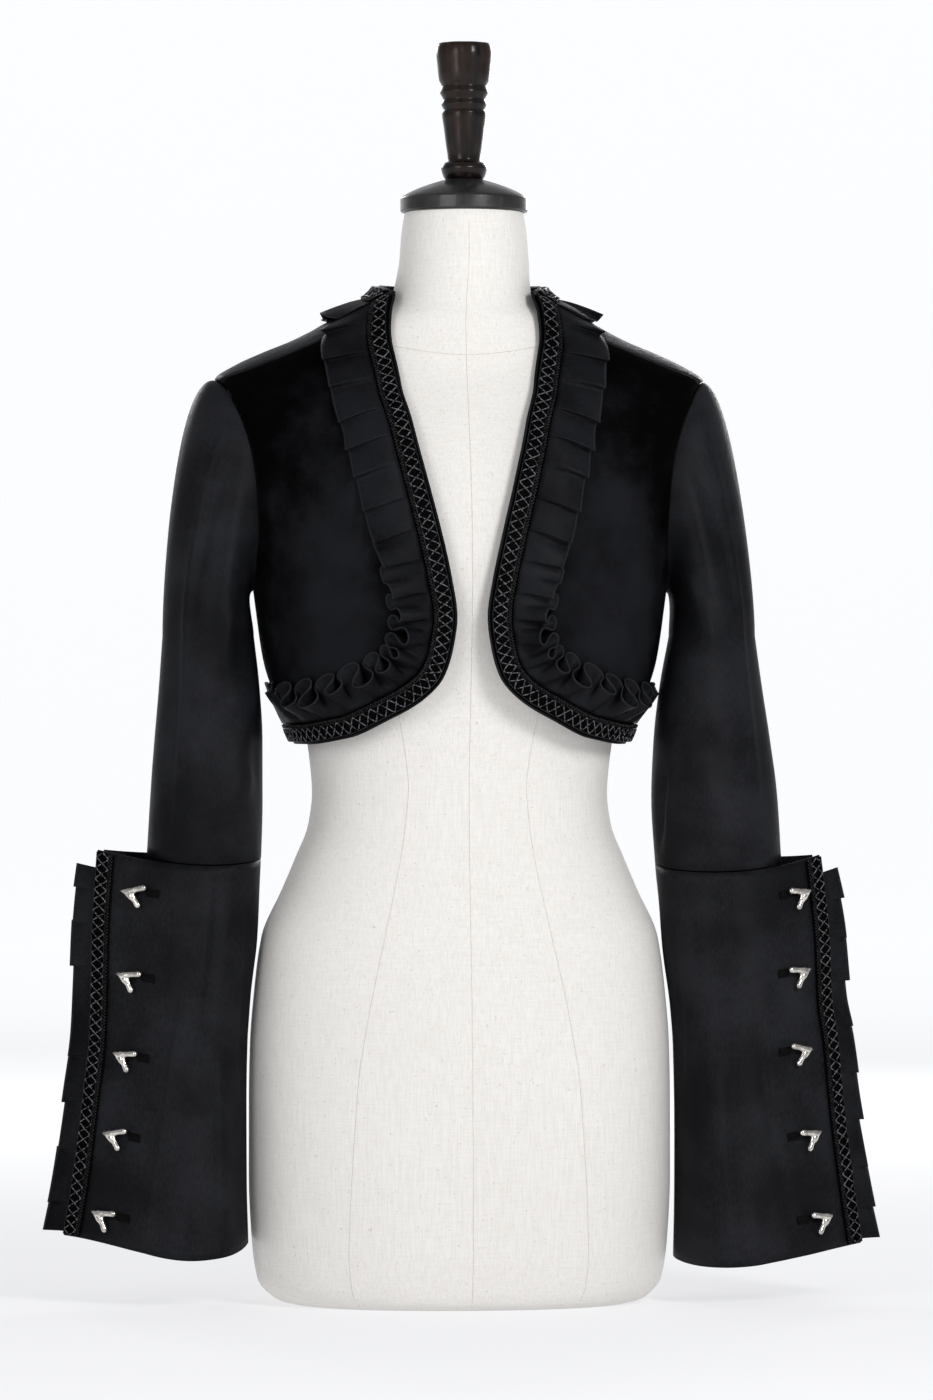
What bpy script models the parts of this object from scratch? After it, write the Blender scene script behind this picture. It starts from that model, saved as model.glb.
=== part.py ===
"""A cropped, open-front jacket with flared cuffs, worn by a limbless dress form.

Metres, +Z up, the front towards -Y. The origin is the middle of the form's flat base.
Left and right are as seen from the front, so left is -X. The sizes below are in millimetres.
"""

import math

import bmesh
import bpy
import numpy as np

MM = 0.001

# Walls and the gaps that are kept between the pieces.
CLOTH_WALL = 2.0
CUFF_WALL = 1.8
RUFFLE_WALL = 1.2
SEAM_GAP = 0.4
LIE_GAP = 0.6

# The finished edge: braid and pleated ruffle, measured inwards from the cloth's edge.
BRAID_IN = 2.6
BRAID_WIDE = 16.0
BRAID_THICK = 2.0
RUFFLE_WIDE = 35.0
RUFFLE_LIFT = 8.0
RUFFLE_ROOT_LIFT = 0.8
PLEAT_PITCH = 27.0
CUFF_RUFFLE_WIDE = 18.5
CUFF_RUFFLE_LIFT = 4.6
CUFF_PLEATS = 9

# The armhole is an oval on the jacket's side, in height and in turn round the body.
ARMHOLE_MID_Z = 660.0
ARMHOLE_HALF_HIGH = 85.0
ARMHOLE_HALF_TURN = math.radians(17.5)
SHOULDER_POINT = math.radians(15.0)
SLEEVE_COLUMNS = 24
NECK_BACK_Z = 822.0
HEM_Z = 454.0

# The heights in the tables count from a line this far under the form's base.
BASE_Z = 8.5
# The form's neck stands this far to the right of its base.
NECK_X = 3.5

SLEEVE_TOP_Z = 540.0
SLEEVE_HEAD_REACH = {"left": 52.0, "right": 34.0}
SLEEVE_HEAD_RISE = {"left": 0.34, "right": 0.0}
NECK_TOP_Z = 878.6
CAP_TOP_Z = 905.0
TOGGLE_SIZE = 9.0


def smooth_curve(xs, ys, at):
    """A smooth curve through the rows of a table that never swings past them."""
    wide = np.diff(xs)
    rise = np.diff(ys) / wide
    slope = np.zeros(len(ys))
    product = rise[:-1] * rise[1:]
    total = rise[:-1] + rise[1:]
    safe = np.where(total == 0, 1.0, total)
    slope[1:-1] = np.where(product > 0, 2 * product / safe, 0.0)
    slope[0] = rise[0]
    slope[-1] = rise[-1]
    at = np.clip(at, xs[0], xs[-1])
    i = np.clip(np.searchsorted(xs, at, side="right") - 1, 0, len(wide) - 1)
    s = (at - xs[i]) / wide[i]
    low = ys[i] * (1 + 2 * s) * (1 - s) ** 2 + slope[i] * wide[i] * s * (1 - s) ** 2
    high = ys[i + 1] * s * s * (3 - 2 * s) + slope[i + 1] * wide[i] * s * s * (s - 1)
    return low + high


class Table:
    """Named columns with a row per section, read along the first column."""

    def __init__(self, names, rows):
        self.names = names.split()
        self.rows = np.array(sorted(rows), float)

    def __call__(self, name, at):
        column = self.rows[:, self.names.index(name)]
        return smooth_curve(self.rows[:, 0], column, np.asarray(at, float))


# Half-widths and depths of the dress form, from its flat base to the top of its neck.
FORM = Table(
    "z side front back power",
    [
        (8.5, 136, 92, 93, 2.2),
        (11, 146, 98, 99, 2.2),
        (16, 153, 103, 105, 2.2),
        (26, 161, 107, 110, 2.2),
        (57, 166, 112, 118, 2.2),
        (110, 168.5, 113, 122, 2.2),
        (169, 168.5, 112, 123, 2.2),
        (217, 167.5, 109, 120, 2.2),
        (250, 165, 106, 115, 2.2),
        (300, 158.5, 98, 104, 2.2),
        (338, 142, 92, 94, 2.2),
        (364, 131, 88, 88, 2.2),
        (390, 121, 86, 86, 2.2),
        (415, 118, 86, 85, 2.2),
        (441, 120, 89, 87, 2.2),
        (480, 126, 98, 92, 2.3),
        (520, 132, 109, 98, 2.3),
        (560, 137, 117, 104, 2.3),
        (600, 141, 120, 107, 2.3),
        (640, 149, 115, 110, 2.3),
        (680, 160, 103, 111, 2.3),
        (710, 173, 90, 107, 2.2),
        (730, 184, 80, 101, 2.0),
        (740, 186, 75, 96, 1.9),
        (749, 176, 71, 90, 1.8),
        (758.5, 156, 68, 84, 1.75),
        (771.0, 127, 65, 77, 1.75),
        (784.1, 103, 62, 71, 1.8),
        (794.1, 82, 60, 65, 1.9),
        (803, 62, 57, 60, 2.0),
        (816, 55, 55, 56, 2.0),
        (838, 52, 53, 53, 2.0),
        (863, 50, 51, 51, 2.0),
        (878.6, 47.5, 48.5, 48.5, 2.0),
    ],
)

# The same for the jacket's outer face. It hangs from the bust and shoulders.
JACKET = Table(
    "z side front back power",
    [
        (448, 129.5, 117, 99, 2.3),
        (480, 143, 123, 104, 2.3),
        (520, 157, 129, 109, 2.3),
        (560, 163, 132, 113, 2.3),
        (600, 168, 132, 116, 2.3),
        (640, 173, 127, 119, 2.3),
        (680, 180, 115, 119, 2.3),
        (710, 190, 101, 114, 2.2),
        (730, 197, 90, 108, 2.0),
        (745, 196, 80, 102, 1.9),
        (755, 182, 76, 96, 1.8),
        (765, 161, 73, 90, 1.75),
        (777, 132, 70, 83, 1.75),
        (790, 108, 67, 76, 1.8),
        (800, 90, 65, 71, 1.9),
        (812, 70, 62, 66, 2.0),
        (824, 62, 60, 63, 2.0),
    ],
)

# The front edge of one side: how far it lies from the middle, from the neck to the hem.
FRONT_EDGE = [
    (55.0, 813),
    (59.0, 774),
    (53.0, 741),
    (45.0, 709),
    (30.0, 645),
    (16.0, 583),
    (12.0, 554),
    (14.5, 532),
    (22.0, 507),
    (38.0, 489),
    (63.0, 474),
    (95.0, 459),
    (123.0, 454),
]
FRONT_CORNER_ROW = 8

# The shoulder seam lies forward of the shoulder's top: turn from the front in degrees, and height.
SHOULDER_SEAM = [(63, 797), (73, 776), (79, 757)]

# Soft folds of the fronts and the back: turn, height, half length, half width, lift and lean.
BODY_FOLDS = [
    (-50, 690, 60, 7, -3.0, 8),
    (-66, 560, 55, 6, -3.5, -6),
    (-40, 600, 60, 9, 1.5, 10),
    (52, 695, 55, 7, -2.5, -8),
    (66, 565, 50, 6, -3.0, 6),
    (42, 610, 60, 9, 1.5, -10),
    (150, 560, 70, 10, -2.5, 8),
    (-155, 590, 70, 10, -2.5, -6),
]

# The sleeve below the armhole: where its inner and outer lines lie, and its half-depth.
SLEEVE = Table(
    "z left_in left_out right_in right_out deep mid_y",
    [
        (357, 159.5, 251.0, 156.5, 258.0, 46, -8),
        (410, 158.0, 247.5, 153.5, 254.5, 47, -7),
        (457, 158.0, 243.5, 155.5, 248.0, 48, -6),
        (500, 160.5, 239.5, 160.5, 241.0, 49, -5),
        (540, 165.0, 236.5, 168.0, 235.0, 50, -4),
    ],
)

# The cuff: its tube's inner and outer lines, the reach of its overlapping edge and its half-depth.
CUFF = Table(
    "down left_in left_out left_edge right_in right_out right_edge deep mid_y",
    [
        (0.00, 159.5, 251.0, 289.5, 156.5, 258.0, 288.5, 46, -8),
        (0.20, 161.5, 252.5, 293.5, 161.0, 260.5, 295.5, 48, -9),
        (0.37, 167.5, 255.0, 294.5, 168.0, 262.5, 297.5, 50, -10),
        (0.48, 170.2, 258.5, 295.5, 170.4, 265.5, 302.5, 51, -10),
        (0.63, 171.0, 262.5, 300.5, 171.0, 269.5, 306.5, 53, -11),
        (0.84, 170.8, 269.5, 308.5, 170.6, 276.5, 314.5, 56, -12),
        (1.00, 169.5, 276.5, 316.5, 169.5, 284.5, 321.5, 58, -12),
    ],
)

# Heights of the elbow seam and of the cuff's hem at the outer side, front, inner side and back.
SEAM_LEVEL = {"left": (365, 358, 363, 366), "right": (360, 352, 357, 363)}
HEM_LEVEL = {"left": (64, 47, 59, 60), "right": (54, 40, 45, 56)}

# Soft folds of the sleeves: turn from the outer side, height, half length, half width and lift.
SLEEVE_FOLDS = {
    "left": [
        (18, 560, 190, 16, 3.0),
        (48, 470, 110, 13, -2.5),
        (62, 690, 45, 14, -3.0),
        (105, 640, 60, 15, 2.5),
        (150, 430, 60, 16, -2.5),
        (-60, 560, 120, 18, -3.0),
        (-110, 660, 60, 16, 2.5),
    ],
    "right": [
        (24, 560, 180, 16, 2.5),
        (55, 600, 90, 14, -3.0),
        (95, 650, 60, 15, 2.5),
        (130, 420, 65, 15, -3.0),
        (-55, 520, 120, 18, -3.0),
        (-115, 650, 60, 16, 2.5),
    ],
}

# Soft flutes of the cuffs, deepest at the hem: place round the cuff, half width and lift.
CUFF_FLUTES = {
    "left": [(0.78, 0.06, -4.0), (0.64, 0.06, 3.0), (0.40, 0.07, -3.0), (0.24, 0.07, 3.0)],
    "right": [(0.80, 0.05, -6.0), (0.66, 0.06, 4.0), (0.42, 0.07, -3.0), (0.22, 0.07, 3.0)],
}

# The toggles: distance from the middle plane and height of each one's centre.
TOGGLES = {
    "left": [(260.5, 338), (264.5, 272), (267.5, 210), (275.5, 148), (284.5, 85)],
    "right": [(269.5, 335), (268.5, 274), (269.5, 213), (276.5, 146), (285.5, 80)],
}

# The turned finial, from its foot to its crown: radius and height over the cap.
FINIAL = [
    (0, 0.4),
    (15.0, 0.4),
    (16.4, 2.5),
    (17.6, 5.5),
    (18.4, 9.4),
    (16.6, 13.0),
    (13.6, 14.6),
    (13.2, 16.2),
    (14.8, 28.6),
    (16.4, 41.4),
    (18.0, 53.6),
    (16.6, 56.0),
    (18.4, 60.6),
    (17.0, 64.2),
    (19.6, 70.2),
    (18.2, 75.0),
    (20.4, 80.0),
    (22.0, 92.6),
    (22.8, 101.0),
    (22.2, 106.0),
    (20.2, 109.2),
    (0, 109.4),
]
CAP = [(0, 0.3), (49.5, 0.3), (51.0, 1.8), (51.0, 11.0), (49.0, 13.2), (22.0, 24.6), (14.4, 26.4), (0, 26.4)]

# How one knife pleat runs: share of the pitch and share of the lift.
PLEAT = [(0.0, 0.0), (0.36, 0.28), (0.76, 1.0), (0.93, 0.60)]

COLOURS = {
    "form_linen": ((0.74, 0.71, 0.66), 0.9, 0.0),
    "cap_black": ((0.015, 0.015, 0.016), 0.35, 0.0),
    "finial_wood": ((0.035, 0.02, 0.015), 0.25, 0.0),
    "velvet_black": ((0.012, 0.012, 0.014), 0.85, 0.0),
    "satin_charcoal": ((0.03, 0.03, 0.035), 0.5, 0.0),
    "ruffle_satin": ((0.035, 0.035, 0.04), 0.45, 0.0),
    "braid_black": ((0.012, 0.012, 0.013), 0.3, 0.0),
    "toggle_silver": ((0.75, 0.75, 0.74), 0.2, 1.0),
}


def around(table, turn, z):
    """Points of a section table, at turns from the front towards +X and at heights."""
    side = table("side", z)
    power = table("power", z)
    sine = np.sin(turn)
    cosine = np.cos(turn)
    deep = np.where(cosine > 0, table("front", z), table("back", z))
    reach = (np.abs(sine) / side) ** power + (np.abs(cosine) / deep) ** power
    radius = reach ** (-1 / power)
    return np.stack([radius * sine, -radius * cosine, z + 0 * turn], axis=-1)


def body_cloth(turn, z):
    """The jacket's outer face, with its folds."""
    turn = np.asarray(turn, float)
    z = np.asarray(z, float)
    point = around(JACKET, turn, z)
    lift = np.zeros(np.broadcast(turn, z).shape)
    for middle, height, run, wide, out, lean in BODY_FOLDS:
        along = (z - height) / run
        off = np.degrees(turn) - middle - lean * along
        off = (off + 180) % 360 - 180
        lift = lift + out * np.exp(-((off / wide) ** 2) - along**2)
    radius = np.hypot(point[..., 0], point[..., 1])
    point[..., :2] *= (1 + lift / radius)[..., None]
    return point


def dot(a, b):
    return (a * b).sum(axis=-1)


def unit(a):
    return a / np.linalg.norm(a, axis=-1, keepdims=True)


def body_frame(turn, z):
    """A point of the cloth, its two directions and the way out of it."""
    small_turn = 0.004
    small_z = 0.8
    point = body_cloth(turn, z)
    ahead = body_cloth(turn + small_turn, z) - body_cloth(turn - small_turn, z)
    above = body_cloth(turn, z + small_z) - body_cloth(turn, z - small_z)
    along_turn = ahead / (2 * small_turn)
    along_z = above / (2 * small_z)
    return point, along_turn, along_z, unit(np.cross(along_turn, along_z))


def walk(turn, z, heading, distance, steps):
    """Follows the cloth for a distance, starting in a heading."""
    for _ in range(steps):
        _, along_turn, along_z, normal = body_frame(turn, z)
        heading = unit(heading - normal * dot(heading, normal)[..., None])
        a = dot(along_turn, along_turn)
        b = dot(along_turn, along_z)
        c = dot(along_z, along_z)
        p = dot(heading, along_turn)
        q = dot(heading, along_z)
        size = a * c - b * b
        turn = turn + distance / steps * (c * p - b * q) / size
        z = z + distance / steps * (a * q - b * p) / size
    return turn, z, heading


def turn_at(x, z):
    """The turn of a point on the jacket's front that lies x from the middle."""
    power = JACKET("power", z)
    reach = 1 - (x / JACKET("side", z)) ** power
    return math.atan2(x, JACKET("front", z) * reach ** (1 / power))


def spaced(points, shares):
    """The same curve in (turn, z) with points at shares of its length, measured on the cloth."""
    points = np.array(points, float)
    place = body_cloth(points[:, 0], points[:, 1])
    length = np.concatenate([[0], np.linalg.norm(np.diff(place, axis=0), axis=1).cumsum()])
    fine = np.linspace(0, length[-1], 40 * len(points))
    turn = smooth_curve(length, points[:, 0], fine)
    z = smooth_curve(length, points[:, 1], fine)
    place = body_cloth(turn, z)
    length = np.concatenate([[0], np.linalg.norm(np.diff(place, axis=0), axis=1).cumsum()])
    at = length[-1] * np.asarray(shares)
    return np.stack([np.interp(at, length, turn), np.interp(at, length, z)], axis=-1)


def evenly(points, count):
    return spaced(points, np.linspace(0, 1, count))


def half_edge():
    """The right half of the jacket's finished edge, from the back neck to the back hem."""
    neck = [(math.pi, NECK_BACK_Z), (math.radians(130), NECK_BACK_Z)]
    neck += [(math.radians(90), 820.5), (math.radians(68), 817)]
    front = [(turn_at(x, z), z) for x, z in FRONT_EDGE]
    hem = [(math.radians(90), HEM_Z), (math.radians(135), HEM_Z), (math.pi, HEM_Z)]
    return neck, front, hem


class Edge:
    """The whole finished edge as one loop, with the way into the cloth at each place."""

    def __init__(self):
        neck, front, hem = half_edge()
        half = evenly(neck + front + hem, 600)
        mirrored = half[::-1][1:-1] * [-1, 1]
        self.loop = np.concatenate([half, mirrored])
        place = body_cloth(self.loop[:, 0], self.loop[:, 1])
        step = np.linalg.norm(np.roll(place, -1, axis=0) - place, axis=1)
        self.length = step.sum()
        self.at = np.concatenate([[0], step[:-1].cumsum()])
        self.neck_end = self.place_of(turn_at(*FRONT_EDGE[0]), FRONT_EDGE[0][1])
        self.side = self.place_of(math.radians(90), HEM_Z)
        self.inward = self.ways_in(self.loop, 10)
        root = BRAID_IN + BRAID_WIDE + SEAM_GAP
        turn, z, _ = walk(self.loop[:, 0], self.loop[:, 1], self.inward, root, 6)
        self.root = np.stack([turn, z], axis=-1)
        self.fanned = self.ways_in(self.root, 24)

    def place_of(self, turn, z):
        off = np.hypot((self.loop[:300, 0] - turn) * 100, self.loop[:300, 1] - z)
        if z < 500:
            off = np.hypot((self.loop[:600, 0] - turn) * 100, self.loop[:600, 1] - z)
        return self.at[int(off.argmin())]

    def ways_in(self, loop, window):
        """The way into the cloth at each place, evened out over a window of places."""
        place, _, _, normal = body_frame(loop[:, 0], loop[:, 1])
        tangent = unit(np.roll(place, -1, axis=0) - np.roll(place, 1, axis=0))
        inward = np.cross(normal, tangent)
        spread = np.arange(-2 * window, 2 * window + 1)
        weight = np.exp(-((spread / window) ** 2))
        return unit(sum(w * np.roll(inward, k, axis=0) for k, w in zip(spread, weight)))

    def read(self, values, at):
        """Values kept for each place of the loop, read at distances along it."""
        at = np.asarray(at) % self.length
        whole = np.concatenate([values, values[:1]])
        if values.shape[1] == 2:
            whole = whole.copy()
            whole[:, 0] = np.unwrap(whole[:, 0])
        marks = np.concatenate([self.at, [self.length]])
        columns = [np.interp(at, marks, whole[:, k]) for k in range(whole.shape[1])]
        return np.stack(columns, axis=-1)

    def strip(self, values, ways, at, distances, lifts):
        """Rows of points at distances in from a line, each lifted off the cloth."""
        start = self.read(values, at)
        heading = unit(self.read(ways, at))
        turn = start[:, 0]
        z = start[:, 1]
        rows = []
        gone = 0.0
        for distance, lift in zip(distances, lifts):
            turn, z, heading = walk(turn, z, heading, distance - gone, 4)
            gone = distance
            point, _, _, normal = body_frame(turn, z)
            rows.append(point + normal * np.asarray(lift)[..., None])
        return np.stack(rows)


def pleat_marks(start, end, pitch):
    """Places along a pleated strip and the share of the lift at each."""
    count = max(1, round((end - start) / pitch))
    pitch = (end - start) / count
    at = []
    share = []
    for k in range(count):
        uneven = 0.10 * math.sin(2.1 * k + 0.6)
        for run, rise in PLEAT:
            at.append(start + pitch * (k + run + uneven * math.sin(math.pi * run)))
            share.append(rise * (0.86 + 0.14 * math.cos(1.7 * k)))
    at.append(end)
    share.append(0.0)
    return np.array(at), np.array(share)


def patch(bottom, top, left, right, shares, top_pull):
    """A grid in (turn, z) between four curves: rows go up, columns go from left to right.

    The higher top_pull is, the nearer to the top its shape is felt.
    """
    u = np.linspace(0, 1, len(bottom))[None, :, None]
    v = (np.asarray(shares) ** top_pull)[:, None, None]
    across = (1 - u) * left[:, None] + u * right[:, None]
    upward = (1 - v) * bottom[None] + v * top[None]
    low = (1 - u) * bottom[0] + u * bottom[-1]
    high = (1 - u) * top[0] + u * top[-1]
    return across + upward - (1 - v) * low - v * high


def armhole(angle, inset=0.0):
    """The right armhole's oval in (turn, z): angle 0 at the top, 90 degrees at the front."""
    half_turn = ARMHOLE_HALF_TURN - inset / 170
    half_high = ARMHOLE_HALF_HIGH - inset
    turn = math.pi / 2 - half_turn * np.sin(angle)
    return np.stack([turn, ARMHOLE_MID_Z + half_high * np.cos(angle)], axis=-1)


def hole_angles(first):
    """The armhole's angles from its foot to the shoulder point, one for each sleeve column."""
    step = 2 * math.pi / SLEEVE_COLUMNS
    count = round((first - SHOULDER_POINT) / step)
    return np.linspace(first, SHOULDER_POINT, abs(count) + 1)


def front_grid(side_rows, columns):
    """One front, from its edge to the side seam and armhole."""
    _, front, _ = half_edge()
    seam = math.radians(90) - 0.5 * SEAM_GAP / 165
    hole = armhole(hole_angles(math.pi))
    hole[0, 0] = seam
    under = np.linspace((seam, HEM_Z), hole[0], side_rows + 1)
    outer = np.concatenate([under[:-1], hole])
    shares = 1 - (1 - np.linspace(0, 1, len(outer))) ** 1.35
    upper = spaced(front[: FRONT_CORNER_ROW + 1][::-1], shares)
    lower = evenly(front[FRONT_CORNER_ROW:] + [(seam, HEM_Z)], columns)
    shoulder = [front[0]] + [(math.radians(t), z) for t, z in SHOULDER_SEAM] + [tuple(hole[-1])]
    shoulder = evenly(shoulder, columns)
    shoulder[:, 1] -= 1.9 * SEAM_GAP
    upper[-1] = shoulder[0]
    outer[-1] = shoulder[-1]
    return patch(lower, shoulder, upper, outer, shares, 1.0)


def back_grid(side_rows, columns):
    """The back, from side seam to side seam, over the shoulders to the neck."""
    neck, front, _ = half_edge()
    seam = math.radians(90) + 0.5 * SEAM_GAP / 165
    hole = armhole(hole_angles(-math.pi))
    hole[0, 0] = seam
    under = np.linspace((seam, HEM_Z), hole[0], side_rows + 1)
    outer = np.concatenate([under[:-1], hole])
    shares = 1 - (1 - np.linspace(0, 1, len(outer))) ** 1.6
    low = evenly([(seam, HEM_Z), (math.pi, HEM_Z), (2 * math.pi - seam, HEM_Z)], 2 * columns + 1)
    shoulder = [tuple(hole[-1])]
    shoulder += [(math.radians(t), z) for t, z in SHOULDER_SEAM[::-1]]
    shoulder = evenly(shoulder + [front[0]], columns // 2 + 1)
    shoulder[:, 1] += 1.9 * SEAM_GAP
    half_neck = evenly([tuple(shoulder[-1])] + neck[::-1], columns - columns // 2 + 1)
    half = np.concatenate([shoulder, half_neck[1:]])
    other = half[::-1][1:].copy()
    other[:, 0] = 2 * math.pi - other[:, 0]
    top = np.concatenate([half, other])
    outer[-1] = top[0]
    far = outer.copy()
    far[:, 0] = 2 * math.pi - far[:, 0]
    return patch(low, top, outer, far, shares, 8.0)


def level(values, turn):
    """A tilted, slightly dipped ring's height at a turn from the outer side over the back."""
    out, front, inner, back = values
    middle = (out + front + inner + back) / 4
    dip = (out + inner - front - back) / 4
    tilt_x = (out - inner) / 2
    tilt_y = (back - front) / 2
    return middle + tilt_x * np.cos(turn) + tilt_y * np.sin(turn) + dip * np.cos(2 * turn)


def sleeve_grid(side, head_rows, rows):
    """Rings of a sleeve, from the armhole down to the elbow seam."""
    sign = -1 if side == "left" else 1
    turn = np.arange(SLEEVE_COLUMNS) * 2 * math.pi / SLEEVE_COLUMNS
    start = armhole(turn, 1.3)
    place, _, _, normal = body_frame(sign * start[:, 0], start[:, 1])
    place = place - 1.0 * normal
    outward = 20 + SLEEVE_HEAD_REACH[side] * (0.5 + 0.5 * np.cos(turn))
    rise = SLEEVE_HEAD_RISE[side] * np.clip(np.cos(turn), 0, 1) ** 2
    upward = np.stack([0 * rise, 0 * rise, rise], axis=-1)
    first = outward[:, None] * (np.array([sign * 0.85, 0, 0]) + 0.45 * normal + upward)

    def ring(z_at, z):
        low = SLEEVE(side + "_in", z_at)
        high = SLEEVE(side + "_out", z_at)
        x = (low + high) / 2 + (high - low) / 2 * np.cos(turn)
        y = SLEEVE("mid_y", z_at) - SLEEVE("deep", z_at) * np.sin(turn)
        return np.stack([sign * x, y, z + 0 * turn], axis=-1)

    end = ring(SLEEVE_TOP_Z, SLEEVE_TOP_Z)
    fall = 10 + 0.72 * (place[:, 2] - SLEEVE_TOP_Z)
    last = np.stack([0 * fall, 0 * fall, -fall], axis=-1)
    rings = []
    for s in np.linspace(0, 1, head_rows) ** 1.25:
        low = place * (1 + 2 * s) * (1 - s) ** 2 + first * s * (1 - s) ** 2
        high = end * s * s * (3 - 2 * s) + last * s * s * (s - 1)
        rings.append(low + high)
    foot = level(SEAM_LEVEL[side], -turn) + 2.6 * SEAM_GAP
    for s in np.linspace(0, 1, rows + 1)[1:]:
        z = SLEEVE_TOP_Z + (foot - SLEEVE_TOP_Z) * s
        rings.append(ring(z, z))
    grid = np.stack(rings)
    middle = grid.mean(axis=1, keepdims=True)
    way = unit((grid - middle) * [1, 1, 0.2])
    for centre, height, run, wide, out in SLEEVE_FOLDS[side]:
        off = (np.degrees(turn)[None] - centre + 180) % 360 - 180
        along = (grid[..., 2] - height) / run
        fade = np.clip((np.arange(len(rings)) - 1) / 3, 0, 1)[:, None]
        end_fade = np.clip((len(rings) - 1 - np.arange(len(rings))) / 2, 0, 1)[:, None]
        lift = out * np.exp(-((off / wide) ** 2) - along**2) * fade * end_fade
        grid = grid + way * lift[..., None]
    return grid


def cuff_point(side, around_share, down):
    """The cuff's outer face. It wraps from its under edge round the back to its top edge."""
    sign = -1 if side == "left" else 1
    share = np.asarray(around_share, float)
    down = np.asarray(down, float)
    low = CUFF(side + "_in", down)
    high = CUFF(side + "_out", down)
    edge = CUFF(side + "_edge", down)
    deep = CUFF("deep", down)
    half = (high - low) / 2
    fin = edge - high
    corner = np.arccos(half / (half + fin))
    straight = 0.15
    inner = np.clip((share - straight) / (1 - 2 * straight), 0, 1)
    turn = corner + (2 * math.pi - 2 * corner) * inner
    x = half * np.cos(turn)
    y = deep * np.sin(turn)
    under = np.clip(1 - share / straight, 0, 1)
    over = np.clip((share - 1 + straight) / straight, 0, 1)
    tip = half + fin
    x = x + under * (tip - 5.0 - x) + over * (tip - x)
    y = y + under * (2.4 - y) + over * (-2.4 - y)
    for centre, wide, out in CUFF_FLUTES[side]:
        lift = out * down**1.6 * np.exp(-(((share - centre) / wide) ** 2))
        x = x + lift * np.cos(turn)
        y = y + lift * np.sin(turn)
    top = level(SEAM_LEVEL[side], turn * (1 - under) * (1 - over))
    hem = level(HEM_LEVEL[side], turn * (1 - under) * (1 - over))
    top = top + 5.0 * np.maximum(under, over) ** 2
    z = top + (hem - top) * down
    middle = (low + high) / 2
    return np.stack([sign * (middle + x), CUFF("mid_y", down) + y, z], axis=-1)


def cuff_frame(side, share, down):
    """A point near the cuff's top edge, the way out along the cloth and the way off it."""
    point = cuff_point(side, share, down)
    back = cuff_point(side, share - 0.03, down)
    above = cuff_point(side, share, np.maximum(np.asarray(down) - 0.01, 0))
    below = cuff_point(side, share, np.minimum(np.asarray(down) + 0.01, 1))
    along = unit(point - back)
    normal = unit(np.cross(along, below - above))
    normal = normal * np.where(normal[..., 1] > 0, -1, 1)[..., None]
    return point, along, normal


def new_material(name):
    colour, roughness, metallic = COLOURS[name]
    material = bpy.data.materials.new(name)
    material.use_nodes = True
    shader = material.node_tree.nodes["Principled BSDF"]
    shader.inputs["Base Color"].default_value = (*colour, 1)
    shader.inputs["Roughness"].default_value = roughness
    shader.inputs["Metallic"].default_value = metallic
    material.diffuse_color = (*colour, 1)
    return material


def new_object(name, mesh, material):
    obj = bpy.data.objects.new(name, mesh)
    jacket_set.objects.link(obj)
    mesh.materials.append(material)
    mesh.shade_smooth()
    mesh.set_sharp_from_angle(angle=math.radians(50))
    return obj


def cloth_object(name, grid, material, wall, outward, wraps=False):
    """An open cloth surface with a wall. Outward gives the way that its face should look."""
    rows, columns = grid.shape[:2]
    mesh = bpy.data.meshes.new(name)
    shape = bmesh.new()
    verts = [shape.verts.new(point) for point in (grid * MM).reshape(-1, 3)]
    last = columns if wraps else columns - 1
    for i in range(rows - 1):
        for j in range(last):
            k = (j + 1) % columns
            a = verts[i * columns + j]
            b = verts[i * columns + k]
            c = verts[(i + 1) * columns + k]
            d = verts[(i + 1) * columns + j]
            shape.faces.new((a, b, c, d))
    shape.normal_update()
    facing = 0.0
    for face in shape.faces:
        facing += face.calc_area() * face.normal.dot(outward(face.calc_center_median()))
    if facing < 0:
        bmesh.ops.reverse_faces(shape, faces=shape.faces)
    shape.to_mesh(mesh)
    shape.free()
    obj = new_object(name, mesh, material)
    solid = obj.modifiers.new("Wall", "SOLIDIFY")
    solid.thickness = wall * MM
    solid.offset = -1
    return obj


def away_from_axis(x=0.0, y=0.0):
    def outward(centre):
        way = centre.copy()
        way.x -= x * MM
        way.y -= y * MM
        way.z = 0
        return way.normalized()

    return outward


def to_front(centre):
    way = centre.copy()
    way.xyz = (0, -1, 0)
    return way


def turned_object(name, profile, base_z, material, steps):
    """A profile of radii and heights, turned round the vertical axis."""
    mesh = bpy.data.meshes.new(name)
    points = [(radius * MM, 0, height * MM) for radius, height in profile[::-1]]
    edges = [(i, i + 1) for i in range(len(points) - 1)]
    mesh.from_pydata(points, edges, [])
    obj = new_object(name, mesh, material)
    obj.location = (NECK_X * MM, 0, base_z * MM)
    screw = obj.modifiers.new("Turn", "SCREW")
    screw.steps = steps
    screw.render_steps = steps
    screw.use_merge_vertices = True
    screw.merge_threshold = 0.00001
    return obj


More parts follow.
